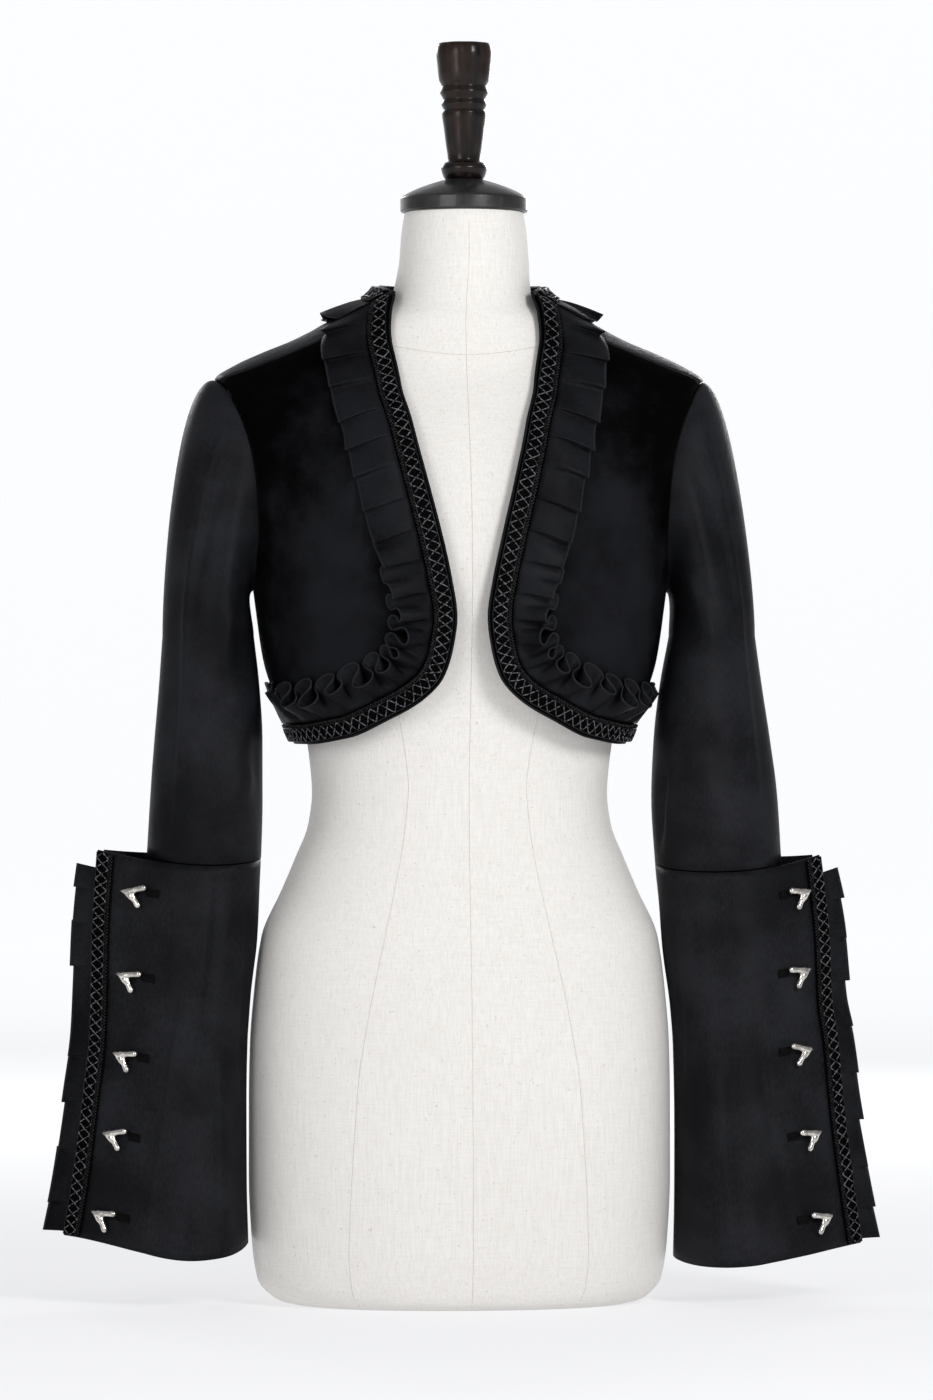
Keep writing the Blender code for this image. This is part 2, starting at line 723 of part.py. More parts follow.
def torso_object(material):
    """The dress form's torso and neck: rings between unlike sections, flat below and above."""
    heights = [BASE_Z, 11, 16, 26, 57, 110, 169, 230, 285, 335, 364, 390, 415, 441]
    heights += [500, 560, 600, 650, 690, 718, 735, 747, 758, 770, 783, 795]
    heights += [805, 818, 878.6]
    count = 24
    turn = np.arange(count) * 2 * math.pi / count
    mesh = bpy.data.meshes.new("form_torso")
    shape = bmesh.new()
    rings = []
    for z in heights:
        points = around(FORM, turn, z + 0 * turn) * MM
        points[:, 0] += NECK_X * MM * float(np.interp(z, (790, 838), (0, 1)))
        rings.append([shape.verts.new(point) for point in points])
    for low, high in zip(rings[:-1], rings[1:]):
        for j in range(count):
            k = (j + 1) % count
            shape.faces.new((low[j], low[k], high[k], high[j]))
    shape.faces.new(rings[0][::-1])
    shape.faces.new(rings[-1])
    shape.to_mesh(mesh)
    shape.free()
    return new_object("form_torso", mesh, material)


def toggle_object(name, side, x, z, material):
    """A plain forked toggle that stands on a foot over the cuff's top layer."""
    sign = -1 if side == "left" else 1
    shares = np.linspace(0.80, 0.985, 60)
    hem = HEM_LEVEL[side][0]
    top = SEAM_LEVEL[side][0]
    down = np.clip((top - z) / (top - hem), 0, 1)
    line = cuff_point(side, shares, down + 0 * shares)
    share = float(np.interp(x, sign * line[:, 0], shares))
    place, along, normal = cuff_frame(side, share, down)
    below = unit(np.cross(along, normal))
    below = below * (-1 if below[2] > 0 else 1)
    size = TOGGLE_SIZE

    def at(out, drop, lift):
        return tuple((place + along * out + below * drop + normal * lift) * MM)

    points = [
        (0.72 * size, -1.5, LIE_GAP - 0.2, 2.5),
        (0.50 * size, -1.2, 5.2, 2.5),
        (-0.15 * size, -0.4, 5.6, 2.5),
        (-1.15 * size, -3.6, 5.0, 2.0),
        (-0.95 * size, 8.6, 4.8, 2.0),
    ]
    mesh = bpy.data.meshes.new(name)
    edges = [(0, 1), (1, 2), (2, 3), (2, 4)]
    mesh.from_pydata([at(*row[:3]) for row in points], edges, [])
    obj = new_object(name, mesh, material)
    skin = obj.modifiers.new("Skin", "SKIN")
    skin.use_smooth_shade = True
    for vertex, row in zip(mesh.skin_vertices[0].data, points):
        vertex.radius = (row[3] * MM, row[3] * MM)
        vertex.use_root = False
    mesh.skin_vertices[0].data[2].use_root = True
    rounded = obj.modifiers.new("Round", "SUBSURF")
    rounded.levels = 1
    rounded.render_levels = 1
    return obj


def build():
    edge = Edge()
    paint = {name: new_material(name) for name in COLOURS}

    torso_object(paint["form_linen"])
    turned_object("form_cap", CAP, NECK_TOP_Z, paint["cap_black"], 20)
    turned_object("form_finial", FINIAL, CAP_TOP_Z, paint["finial_wood"], 14)

    grid = front_grid(5, 9)
    for side, sign in (("left", -1), ("right", 1)):
        points = body_cloth(sign * grid[..., 0], grid[..., 1])
        cloth_object(f"front_{side}", points, paint["velvet_black"], CLOTH_WALL, away_from_axis())
    grid = back_grid(4, 10)
    points = body_cloth(grid[..., 0], grid[..., 1])
    cloth_object("back", points, paint["satin_charcoal"], CLOTH_WALL, away_from_axis())

    joint = 0.25
    neck_joint = 0.9
    spans = {
        "front_right": (edge.neck_end + neck_joint, edge.side - joint),
        "front_left": (edge.length - edge.side + joint, edge.length - edge.neck_end - neck_joint),
        "back_neck": (-edge.neck_end + neck_joint, edge.neck_end - neck_joint),
        "back_hem": (edge.side + joint, edge.length - edge.side - joint),
    }
    for place, (start, end) in spans.items():
        over_ridge = 1.4 if place == "back_neck" else 0.2
        count = max(8, round((end - start) / (13.4 - 4.5 * over_ridge)))
        at = np.linspace(start + 0.2, end - 0.2, count + 1)
        lift = LIE_GAP + BRAID_THICK + over_ridge
        reach = (BRAID_IN, BRAID_IN + BRAID_WIDE / 2, BRAID_IN + BRAID_WIDE)
        rows = edge.strip(edge.loop, edge.inward, at, reach, (lift, lift + 0.5, lift))
        cloth_object(f"braid_{place}", rows, paint["braid_black"], BRAID_THICK, away_from_axis())
        at, share = pleat_marks(start + 1.6, end - 1.6, PLEAT_PITCH)
        if place == "front_left":
            at = (start + end - at)[::-1]
            share = share[::-1]
        start_turn = np.degrees(edge.read(edge.root, at)[:, 0])
        height = edge.read(edge.root, at)[:, 1]
        off_side = np.minimum(abs(start_turn - 90), abs(start_turn - 270))
        off_side = np.minimum(off_side, abs(start_turn + 90))
        near_sleeve = np.exp(-((off_side / 22) ** 2)) * (height < 560)
        full = RUFFLE_LIFT * (1 - 0.78 * near_sleeve) + 3.0 * (height < 540) * (1 - near_sleeve)
        flat = LIE_GAP + RUFFLE_WALL + 0.3 + 0.6 * over_ridge
        lifts = (
            flat + RUFFLE_ROOT_LIFT * share,
            flat + 0.62 * full * share + 0.5,
            flat + full * share + 0.4,
        )
        reach = (0.0, 0.48 * RUFFLE_WIDE, RUFFLE_WIDE)
        reach = tuple(r + 0.4 * over_ridge for r in reach)
        rows = edge.strip(edge.root, edge.fanned, at, reach, lifts)
        cloth_object(f"ruffle_{place}", rows, paint["ruffle_satin"], RUFFLE_WALL, away_from_axis())

    for side, sign in (("left", -1), ("right", 1)):
        rings = sleeve_grid(side, 7, 5)
        mid = sign * 205.0
        cloth_object(
            f"sleeve_{side}", rings, paint["satin_charcoal"], CLOTH_WALL, away_from_axis(mid), True
        )
        share = np.concatenate([[0, 0.07], np.linspace(0.15, 0.85, 17), [0.93, 1.0]])
        down = np.linspace(0, 1, 9)
        cuff = cuff_point(side, share[None, :], down[:, None])
        cloth_object(
            f"cuff_{side}",
            cuff,
            paint["satin_charcoal"],
            CUFF_WALL,
            away_from_axis(sign * 218.0, -10.0),
        )
        down = np.linspace(0.004, 0.996, 19)
        place, along, normal = cuff_frame(side, 1.0, down)
        lift = LIE_GAP + BRAID_THICK
        rows = [
            place - along * back_off + normal * (lift + rise)
            for back_off, rise in ((0.4, 0.0), (8.2, 0.5), (16.0, 0.0))
        ]
        cloth_object(
            f"braid_cuff_{side}", np.stack(rows), paint["braid_black"], BRAID_THICK, to_front
        )
        down, share = pleat_marks(0.004, 0.996, 0.992 / CUFF_PLEATS)
        down = np.clip(down, 0, 1)
        place, along, normal = cuff_frame(side, 1.0, down)
        wave = (share - 0.5) * 2 * CUFF_RUFFLE_LIFT
        taper = np.clip(np.minimum(0.35 + 8 * down, 0.55 + 9 * (1 - down)), 0, 1)
        wide = (CUFF_RUFFLE_WIDE * taper)[:, None]
        rows = [
            place + along * (0.9 + reach * wide) + normal * (wave * rise)[:, None]
            for reach, rise in ((0.0, 0.15), (0.5, 0.6), (1.0, 1.0))
        ]
        cloth_object(
            f"ruffle_cuff_{side}", np.stack(rows), paint["ruffle_satin"], RUFFLE_WALL, to_front
        )
        for number, (x, z) in enumerate(TOGGLES[side], 1):
            toggle_object(f"toggle_{side}_{number}", side, x, z, paint["toggle_silver"])


def stand_on_base():
    """Lowers every piece so that the form's base is at height 0."""
    for obj in jacket_set.objects:
        for vertex in obj.data.vertices:
            vertex.co.z -= BASE_Z * MM


for old in list(bpy.data.objects):
    bpy.data.objects.remove(old)
jacket_set = bpy.data.collections.new("cropped_jacket_on_form")
bpy.context.scene.collection.children.link(jacket_set)
build()
stand_on_base()
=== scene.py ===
"""The cropped jacket on its dress form, in fine cloth, for a studio picture.

Metres, +Z up, the front towards -Y. Sizes below are in millimetres, and heights count from a
line BASE_Z under the form's base, as in the tables.
"""

import math

import bpy
import numpy as np
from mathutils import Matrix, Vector


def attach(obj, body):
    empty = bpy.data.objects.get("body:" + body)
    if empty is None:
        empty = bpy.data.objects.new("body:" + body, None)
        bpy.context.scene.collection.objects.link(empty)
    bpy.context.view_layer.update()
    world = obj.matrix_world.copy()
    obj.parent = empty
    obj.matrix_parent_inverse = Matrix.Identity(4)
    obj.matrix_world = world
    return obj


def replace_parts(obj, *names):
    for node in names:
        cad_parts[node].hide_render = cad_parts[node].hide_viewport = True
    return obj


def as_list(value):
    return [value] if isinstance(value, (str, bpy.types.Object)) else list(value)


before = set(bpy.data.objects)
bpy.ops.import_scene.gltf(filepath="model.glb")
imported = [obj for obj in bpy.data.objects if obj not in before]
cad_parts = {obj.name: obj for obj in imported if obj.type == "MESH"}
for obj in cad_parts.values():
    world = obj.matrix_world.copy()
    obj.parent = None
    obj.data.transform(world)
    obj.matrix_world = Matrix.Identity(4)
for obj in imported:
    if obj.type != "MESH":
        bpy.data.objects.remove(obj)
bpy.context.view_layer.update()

MM = 0.001

# The heights in the tables count from a line this far under the form's base.
BASE_Z = 8.5

# The two sides, as seen from the front, and which way each lies along X.
SIDES = (("left", -1), ("right", 1))

# The camera: its turn round the form in degrees, distance, height and offset to the right,
# and how much of the object plane the picture's height takes in.
CAMERA_TURN = 4.5
CAMERA_AWAY = 5500.0
CAMERA_Z = 489.0
CAMERA_ASIDE = 5.5
FRAME_HIGH = 1120.0

# Rows and columns of each cloth piece for one of the plain solid's.
FINE = 4
SLEEVE_COLUMNS = 24 * FINE

# How thick each shell is here. The plain solid's ruffle wall sets how high a ruffle lies.
CLOTH_SHELL = 1.7
CUFF_SHELL = 1.5
TAPE_SHELL = 1.2
RUFFLE_SHELL = 1.0
RUFFLE_WALL = 1.2

# The gap between two panels at a seam, and the gap under a piece that lies on another.
SEAM_GAP = 0.4
LIE_GAP = 0.6

# The braid: how far in from the cloth's edge it starts, its width and its thickness.
BRAID_IN = 2.6
BRAID_WIDE = 16.0
BRAID_THICK = 2.0

# The tape's cross-section as distances in and lifts, the pitches and radii of the threads on
# it, and the radius of the piping beside it.
BRAID_PROFILE = ((0, -0.7), (1.5, 0.0), (6, 0.25), (11, 0.25), (14.5, 0.0), (16, -0.7))
ZIGZAG_PITCH = 17.0
ZIGZAG_THREAD = 0.46
PICOT_PITCH = 2.6
PICOT_THREAD = 0.4
PIPING_RADIUS = 1.15

# The pleated strip on the jacket's edge: its width, the lift of its pleats at the free edge and
# at the root, their pitch, and how much longer than its sewn edge the strip that shows is.
RUFFLE_WIDE = 35.0
RUFFLE_LIFT = 8.0
RUFFLE_ROOT_LIFT = 0.8
PLEAT_PITCH = 27.0
PLEAT_TAKE = 1.35

# The strip on a cuff, and the shares of its length where one flat panel goes over into the next.
CUFF_RUFFLE_WIDE = 18.5
CUFF_RUFFLE_LIFT = 4.6
CUFF_PANELS = {
    "left": (0.046, 0.104, 0.194, 0.306, 0.428, 0.539, 0.658, 0.780, 0.915, 0.990),
    "right": (0.046, 0.120, 0.220, 0.330, 0.445, 0.565, 0.685, 0.805, 0.910, 0.990),
}

# How far the trims on the edge stop short of the side seam and of the shoulder seam.
SIDE_JOINT = 0.25
NECK_JOINT = 0.9

# The armhole is an oval on the jacket's side, in height and in turn round the body. Front and
# back meet on it at the shoulder point.
ARMHOLE_MID_Z = 660.0
ARMHOLE_HALF_HIGH = 85.0
ARMHOLE_HALF_TURN = math.radians(17.5)
SHOULDER_POINT = math.radians(15.0)

# The heights of the jacket's back neck and of its hem.
NECK_BACK_Z = 822.0
HEM_Z = 454.0

# The sleeves: the height where head and tube meet, how far in from the armhole and under the
# cloth the head starts, how far it reaches out, and how much it rises.
SLEEVE_TOP_Z = 540.0
SLEEVE_INSET = 1.3
SLEEVE_UNDER = 1.0
SLEEVE_HEAD_REACH = {"left": 52.0, "right": 34.0}
SLEEVE_HEAD_RISE = {"left": 0.34, "right": 0.0}

# The cuff's lap: the share of its length that lies flat at each edge, how far the under edge
# stops short of the top one, and how far each lies off the plane between them.
LAP_SHARE = 0.15
LAP_SHORT = 5.0
LAP_OFF = 2.4

# Upright lines about which the sleeves and the cuffs hang: distance aside, and for the cuffs y.
SLEEVE_AXIS = 205.0
CUFF_AXIS = (218.0, -10.0)

# The form's neck stands this far to the right of its base. The heights are of its top and of
# the cap's.
NECK_X = 3.5
NECK_TOP_Z = 878.6
CAP_TOP_Z = 905.0


def eased(first, leaving, last, arriving, s):
    """A cubic from one value to the next, with the slopes that it leaves and arrives in."""
    low = first * (1 + 2 * s) * (1 - s) ** 2 + leaving * s * (1 - s) ** 2
    high = last * s * s * (3 - 2 * s) + arriving * s * s * (s - 1)
    return low + high


def smooth_curve(xs, ys, at):
    """A smooth curve through the rows of a table that never swings past them."""
    wide = np.diff(xs)
    rise = np.diff(ys) / wide
    slope = np.zeros(len(ys))
    product = rise[:-1] * rise[1:]
    total = rise[:-1] + rise[1:]
    safe = np.where(total == 0, 1.0, total)
    slope[1:-1] = np.where(product > 0, 2 * product / safe, 0.0)
    slope[0] = rise[0]
    slope[-1] = rise[-1]
    at = np.clip(at, xs[0], xs[-1])
    i = np.clip(np.searchsorted(xs, at, side="right") - 1, 0, len(wide) - 1)
    s = (at - xs[i]) / wide[i]
    return eased(ys[i], slope[i] * wide[i], ys[i + 1], slope[i + 1] * wide[i], s)


class Table:
    """Named columns with a row per section, read along the first column."""

    def __init__(self, names, rows):
        self.names = names.split()
        self.rows = np.array(sorted(rows), float)

    def __call__(self, name, at):
        column = self.rows[:, self.names.index(name)]
        return smooth_curve(self.rows[:, 0], column, np.asarray(at, float))


# Half-widths and depths of the dress form, from its flat base to the top of its neck.
FORM = Table(
    "z side front back power",
    [
        (8.5, 136, 92, 93, 2.2),
        (11, 146, 98, 99, 2.2),
        (16, 153, 103, 105, 2.2),
        (26, 161, 107, 110, 2.2),
        (57, 166, 112, 118, 2.2),
        (110, 168.5, 113, 122, 2.2),
        (169, 168.5, 112, 123, 2.2),
        (217, 167.5, 109, 120, 2.2),
        (250, 165, 106, 115, 2.2),
        (300, 158.5, 98, 104, 2.2),
        (338, 142, 92, 94, 2.2),
        (364, 131, 88, 88, 2.2),
        (390, 121, 86, 86, 2.2),
        (415, 118, 86, 85, 2.2),
        (441, 120, 89, 87, 2.2),
        (480, 126, 98, 92, 2.3),
        (520, 132, 109, 98, 2.3),
        (560, 137, 117, 104, 2.3),
        (600, 141, 120, 107, 2.3),
        (640, 149, 115, 110, 2.3),
        (680, 160, 103, 111, 2.3),
        (710, 173, 90, 107, 2.2),
        (730, 184, 80, 101, 2.0),
        (740, 186, 75, 96, 1.9),
        (749, 176, 71, 90, 1.8),
        (758.5, 156, 68, 84, 1.75),
        (771.0, 127, 65, 77, 1.75),
        (784.1, 103, 62, 71, 1.8),
        (794.1, 82, 60, 65, 1.9),
        (803, 62, 57, 60, 2.0),
        (816, 55, 55, 56, 2.0),
        (838, 52, 53, 53, 2.0),
        (863, 50, 51, 51, 2.0),
        (878.6, 47.5, 48.5, 48.5, 2.0),
    ],
)

# The same for the jacket's outer face. It hangs from the bust and shoulders.
JACKET = Table(
    "z side front back power",
    [
        (448, 129.5, 117, 99, 2.3),
        (480, 143, 123, 104, 2.3),
        (520, 157, 129, 109, 2.3),
        (560, 163, 132, 113, 2.3),
        (600, 168, 132, 116, 2.3),
        (640, 173, 127, 119, 2.3),
        (680, 180, 115, 119, 2.3),
        (710, 190, 101, 114, 2.2),
        (730, 197, 90, 108, 2.0),
        (745, 196, 80, 102, 1.9),
        (755, 182, 76, 96, 1.8),
        (765, 161, 73, 90, 1.75),
        (777, 132, 70, 83, 1.75),
        (790, 108, 67, 76, 1.8),
        (800, 90, 65, 71, 1.9),
        (812, 70, 62, 66, 2.0),
        (824, 62, 60, 63, 2.0),
    ],
)

# The front edge of one side: how far it lies from the middle, from the neck to the hem.
FRONT_EDGE = [
    (55.0, 813), (59.0, 774), (53.0, 741), (45.0, 709), (30.0, 645), (16.0, 583), (12.0, 554),
    (14.5, 532), (22.0, 507), (38.0, 489), (63.0, 474), (95.0, 459), (123.0, 454),
]
FRONT_CORNER_ROW = 8

# The shoulder seam lies forward of the shoulder's top: turn from the front in degrees, and height.
SHOULDER_SEAM = [(63, 797), (73, 776), (79, 757)]

# Soft folds of the fronts and the back: turn, height, half length, half width, lift and lean.
BODY_FOLDS = [
    (-50, 690, 60, 7, -3.0, 8), (-66, 560, 55, 6, -3.5, -6), (-40, 600, 60, 9, 1.5, 10),
    (52, 695, 55, 7, -2.5, -8), (66, 565, 50, 6, -3.0, 6), (42, 610, 60, 9, 1.5, -10),
    (150, 560, 70, 10, -2.5, 8), (-155, 590, 70, 10, -2.5, -6),
]

# The sleeve below the armhole: where its inner and outer lines lie, and its half-depth.
SLEEVE = Table(
    "z left_in left_out right_in right_out deep mid_y",
    [
        (357, 159.5, 251.0, 156.5, 258.0, 46, -8),
        (410, 158.0, 247.5, 153.5, 254.5, 47, -7),
        (457, 158.0, 243.5, 155.5, 248.0, 48, -6),
        (500, 160.5, 239.5, 160.5, 241.0, 49, -5),
        (540, 165.0, 236.5, 168.0, 235.0, 50, -4),
    ],
)

# The cuff: its tube's inner and outer lines, the reach of its overlapping edge and its half-depth.
CUFF = Table(
    "down left_in left_out left_edge right_in right_out right_edge deep mid_y",
    [
        (0.00, 159.5, 251.0, 289.5, 156.5, 258.0, 288.5, 46, -8),
        (0.20, 161.5, 252.5, 293.5, 161.0, 260.5, 295.5, 48, -9),
        (0.37, 167.5, 255.0, 294.5, 168.0, 262.5, 297.5, 50, -10),
        (0.48, 170.2, 258.5, 295.5, 170.4, 265.5, 302.5, 51, -10),
        (0.63, 171.0, 262.5, 300.5, 171.0, 269.5, 306.5, 53, -11),
        (0.84, 170.8, 269.5, 308.5, 170.6, 276.5, 314.5, 56, -12),
        (1.00, 169.5, 276.5, 316.5, 169.5, 284.5, 321.5, 58, -12),
    ],
)

# Heights of the elbow seam and of the cuff's hem at the outer side, front, inner side and back.
SEAM_LEVEL = {"left": (365, 358, 363, 366), "right": (360, 352, 357, 363)}
HEM_LEVEL = {"left": (64, 47, 59, 60), "right": (54, 40, 45, 56)}

# Soft folds of the sleeves: turn from the outer side, height, half length, half width and lift.
SLEEVE_FOLDS = {
    "left": [
        (18, 560, 190, 16, 3.0), (48, 470, 110, 13, -2.5), (62, 690, 45, 14, -3.0),
        (105, 640, 60, 15, 2.5), (150, 430, 60, 16, -2.5), (-60, 560, 120, 18, -3.0),
        (-110, 660, 60, 16, 2.5),
    ],
    "right": [
        (24, 560, 180, 16, 2.5), (55, 600, 90, 14, -3.0), (95, 650, 60, 15, 2.5),
        (130, 420, 65, 15, -3.0), (-55, 520, 120, 18, -3.0), (-115, 650, 60, 16, 2.5),
    ],
}

# Soft flutes of the cuffs, deepest at the hem: place round the cuff, half width and lift.
CUFF_FLUTES = {
    "left": [(0.78, 0.06, -4.0), (0.64, 0.06, 3.0), (0.40, 0.07, -3.0), (0.24, 0.07, 3.0)],
    "right": [(0.80, 0.05, -6.0), (0.66, 0.06, 4.0), (0.42, 0.07, -3.0), (0.22, 0.07, 3.0)],
}

# The toggles: distance from the middle plane and height of each one's centre.
TOGGLES = {
    "left": [(260.5, 338), (264.5, 272), (267.5, 210), (275.5, 148), (284.5, 85)],
    "right": [(269.5, 335), (268.5, 274), (269.5, 213), (276.5, 146), (285.5, 80)],
}

# The turned finial, from its foot to its crown: radius and height over the cap.
FINIAL = [
    (0, 0.4), (15.0, 0.4), (16.4, 2.5), (17.6, 5.5), (18.4, 9.4), (16.6, 13.0), (13.6, 14.6),
    (13.2, 16.2), (14.8, 28.6), (16.4, 41.4), (18.0, 53.6), (16.6, 56.0), (18.4, 60.6),
    (17.0, 64.2), (19.6, 70.2), (18.2, 75.0), (20.4, 80.0), (22.0, 92.6), (22.8, 101.0),
    (22.2, 106.0), (20.2, 109.2), (0, 109.4),
]
CAP = [
    (0, 0.3), (49.5, 0.3), (51.0, 1.8), (51.0, 11.0), (49.0, 13.2), (22.0, 24.6), (14.4, 26.4),
    (0, 26.4),
]


def around(table, turn, z):
    """Points of a section table, at turns from the front towards +X and at heights."""
    side = table("side", z)
    power = table("power", z)
    sine = np.sin(turn)
    cosine = np.cos(turn)
    deep = np.where(cosine > 0, table("front", z), table("back", z))
    reach = (np.abs(sine) / side) ** power + (np.abs(cosine) / deep) ** power
    radius = reach ** (-1 / power)
    return np.stack([radius * sine, -radius * cosine, z + 0 * turn], axis=-1)


def body_cloth(turn, z):
    """The jacket's outer face, with its folds."""
    turn = np.asarray(turn, float)
    z = np.asarray(z, float)
    point = around(JACKET, turn, z)
    lift = np.zeros(np.broadcast(turn, z).shape)
    for middle, height, run, wide, out, lean in BODY_FOLDS:
        along = (z - height) / run
        off = np.degrees(turn) - middle - lean * along
        off = (off + 180) % 360 - 180
        lift = lift + out * np.exp(-((off / wide) ** 2) - along**2)
    lift = lift + crease_lift(BODY_CREASES, np.degrees(turn), z, 360, 2.6)
    radius = np.hypot(point[..., 0], point[..., 1])
    point[..., :2] *= (1 + lift / radius)[..., None]
    return point


def dot(a, b):
    """The dot product of each pair of vectors in two arrays."""
    return (a * b).sum(axis=-1)


def unit(a):
    """The vectors of an array, each brought to length 1."""
    return a / np.linalg.norm(a, axis=-1, keepdims=True)


def body_frame(turn, z):
    """A point of the cloth, its two directions and the way out of it."""
    small_turn = 0.004
    small_z = 0.8
    point = body_cloth(turn, z)
    ahead = body_cloth(turn + small_turn, z) - body_cloth(turn - small_turn, z)
    above = body_cloth(turn, z + small_z) - body_cloth(turn, z - small_z)
    along_turn = ahead / (2 * small_turn)
    along_z = above / (2 * small_z)
    return point, along_turn, along_z, unit(np.cross(along_turn, along_z))


def walk(turn, z, heading, distance, steps):
    """Follows the cloth for a distance, starting in a heading."""
    for _ in range(steps):
        _, along_turn, along_z, normal = body_frame(turn, z)
        heading = unit(heading - normal * dot(heading, normal)[..., None])
        a = dot(along_turn, along_turn)
        b = dot(along_turn, along_z)
        c = dot(along_z, along_z)
        p = dot(heading, along_turn)
        q = dot(heading, along_z)
        size = a * c - b * b
        turn = turn + distance / steps * (c * p - b * q) / size
        z = z + distance / steps * (a * q - b * p) / size
    return turn, z, heading


def turn_at(x, z):
    """The turn of a point on the jacket's front that lies x from the middle."""
    power = JACKET("power", z)
    reach = 1 - (x / JACKET("side", z)) ** power
    return math.atan2(x, JACKET("front", z) * reach ** (1 / power))


def spaced(points, shares):
    """The same curve in (turn, z) with points at shares of its length, measured on the cloth."""
    points = np.array(points, float)
    place = body_cloth(points[:, 0], points[:, 1])
    length = np.concatenate([[0], np.linalg.norm(np.diff(place, axis=0), axis=1).cumsum()])
    fine = np.linspace(0, length[-1], 40 * len(points))
    turn = smooth_curve(length, points[:, 0], fine)
    z = smooth_curve(length, points[:, 1], fine)
    place = body_cloth(turn, z)
    length = np.concatenate([[0], np.linalg.norm(np.diff(place, axis=0), axis=1).cumsum()])
    at = length[-1] * np.asarray(shares)
    return np.stack([np.interp(at, length, turn), np.interp(at, length, z)], axis=-1)


def evenly(points, count):
    """A curve in (turn, z) with points at equal steps along the cloth."""
    return spaced(points, np.linspace(0, 1, count))


def half_edge():
    """The right half of the jacket's finished edge, from the back neck to the back hem."""
    neck = [(math.pi, NECK_BACK_Z), (math.radians(130), NECK_BACK_Z)]
    neck += [(math.radians(90), 820.5), (math.radians(68), 817)]
    front = [(turn_at(x, z), z) for x, z in FRONT_EDGE]
    hem = [(math.radians(90), HEM_Z), (math.radians(135), HEM_Z), (math.pi, HEM_Z)]
    return neck, front, hem


class Edge:
    """The whole finished edge as one loop, with the way into the cloth at each place."""

    def __init__(self):
        neck, front, hem = half_edge()
        half = evenly(neck + front + hem, 600)
        mirrored = half[::-1][1:-1] * [-1, 1]
        self.loop = np.concatenate([half, mirrored])
        place = body_cloth(self.loop[:, 0], self.loop[:, 1])
        step = np.linalg.norm(np.roll(place, -1, axis=0) - place, axis=1)
        self.length = step.sum()
        self.at = np.concatenate([[0], step[:-1].cumsum()])
        self.neck_end = self.place_of(turn_at(*FRONT_EDGE[0]), FRONT_EDGE[0][1])
        self.side = self.place_of(math.radians(90), HEM_Z)
        self.inward = self.ways_in(self.loop, 10)
        root = BRAID_IN + BRAID_WIDE + SEAM_GAP
        turn, z, _ = walk(self.loop[:, 0], self.loop[:, 1], self.inward, root, 6)
        self.root = np.stack([turn, z], axis=-1)
        self.fanned = self.ways_in(self.root, 24)

    def place_of(self, turn, z):
        """How far along the edge its right half comes nearest to a turn and a height."""
        part = self.loop[: 600 if z < 500 else 300]
        off = np.hypot((part[:, 0] - turn) * 100, part[:, 1] - z)
        return self.at[int(off.argmin())]

    def ways_in(self, loop, window):
        """The way into the cloth at each place, evened out over a window of places."""
        place, _, _, normal = body_frame(loop[:, 0], loop[:, 1])
        tangent = unit(np.roll(place, -1, axis=0) - np.roll(place, 1, axis=0))
        inward = np.cross(normal, tangent)
        spread = np.arange(-2 * window, 2 * window + 1)
        weight = np.exp(-((spread / window) ** 2))
        return unit(sum(w * np.roll(inward, k, axis=0) for k, w in zip(spread, weight)))

    def read(self, values, at):
        """Values kept for each place of the loop, read at distances along it."""
        at = np.asarray(at) % self.length
        whole = np.concatenate([values, values[:1]])
        if values.shape[1] == 2:
            whole = whole.copy()
            whole[:, 0] = np.unwrap(whole[:, 0])
        marks = np.concatenate([self.at, [self.length]])
        columns = [np.interp(at, marks, whole[:, k]) for k in range(whole.shape[1])]
        return np.stack(columns, axis=-1)

    def row(self, line, ways, at, reach, lift, steps):
        """Points at distances along a line, distances in from it and lifts off the cloth."""
        start = self.read(line, at)
        heading = unit(self.read(ways, at))
        reach = np.broadcast_to(np.asarray(reach, float), at.shape)
        turn, z, _ = walk(start[:, 0], start[:, 1], heading, reach, steps)
        point, _, _, normal = body_frame(turn, z)
        return point + normal * np.broadcast_to(np.asarray(lift, float), at.shape)[:, None]

    def braid_row(self, at, reach, lift):
        """A row with its distances counted in from the cloth's own edge."""
        return self.row(self.loop, self.inward, at, reach, lift, 4)

    def ruffle_row(self, at, reach, lift):
        """A row with its distances counted in from the braid."""
        return self.row(self.root, self.fanned, at, reach, lift, 5)


def patch(bottom, top, left, right, shares, top_pull):
    """A grid in (turn, z) between four curves: rows go up, columns go from left to right.

    The higher top_pull is, the nearer to the top its shape is felt.
    """
    u = np.linspace(0, 1, len(bottom))[None, :, None]
    v = (np.asarray(shares) ** top_pull)[:, None, None]
    across = (1 - u) * left[:, None] + u * right[:, None]
    upward = (1 - v) * bottom[None] + v * top[None]
    low = (1 - u) * bottom[0] + u * bottom[-1]
    high = (1 - u) * top[0] + u * top[-1]
    return across + upward - (1 - v) * low - v * high


def armhole(angle, inset=0.0):
    """The right armhole's oval in (turn, z): angle 0 at the top, 90 degrees at the front."""
    half_turn = ARMHOLE_HALF_TURN - inset / 170
    half_high = ARMHOLE_HALF_HIGH - inset
    turn = math.pi / 2 - half_turn * np.sin(angle)
    return np.stack([turn, ARMHOLE_MID_Z + half_high * np.cos(angle)], axis=-1)


def hole_angles(first):
    """The armhole's angles from its foot to the shoulder point, one for each sleeve column."""
    step = 2 * math.pi / SLEEVE_COLUMNS
    count = round((first - SHOULDER_POINT) / step)
    return np.linspace(first, SHOULDER_POINT, abs(count) + 1)


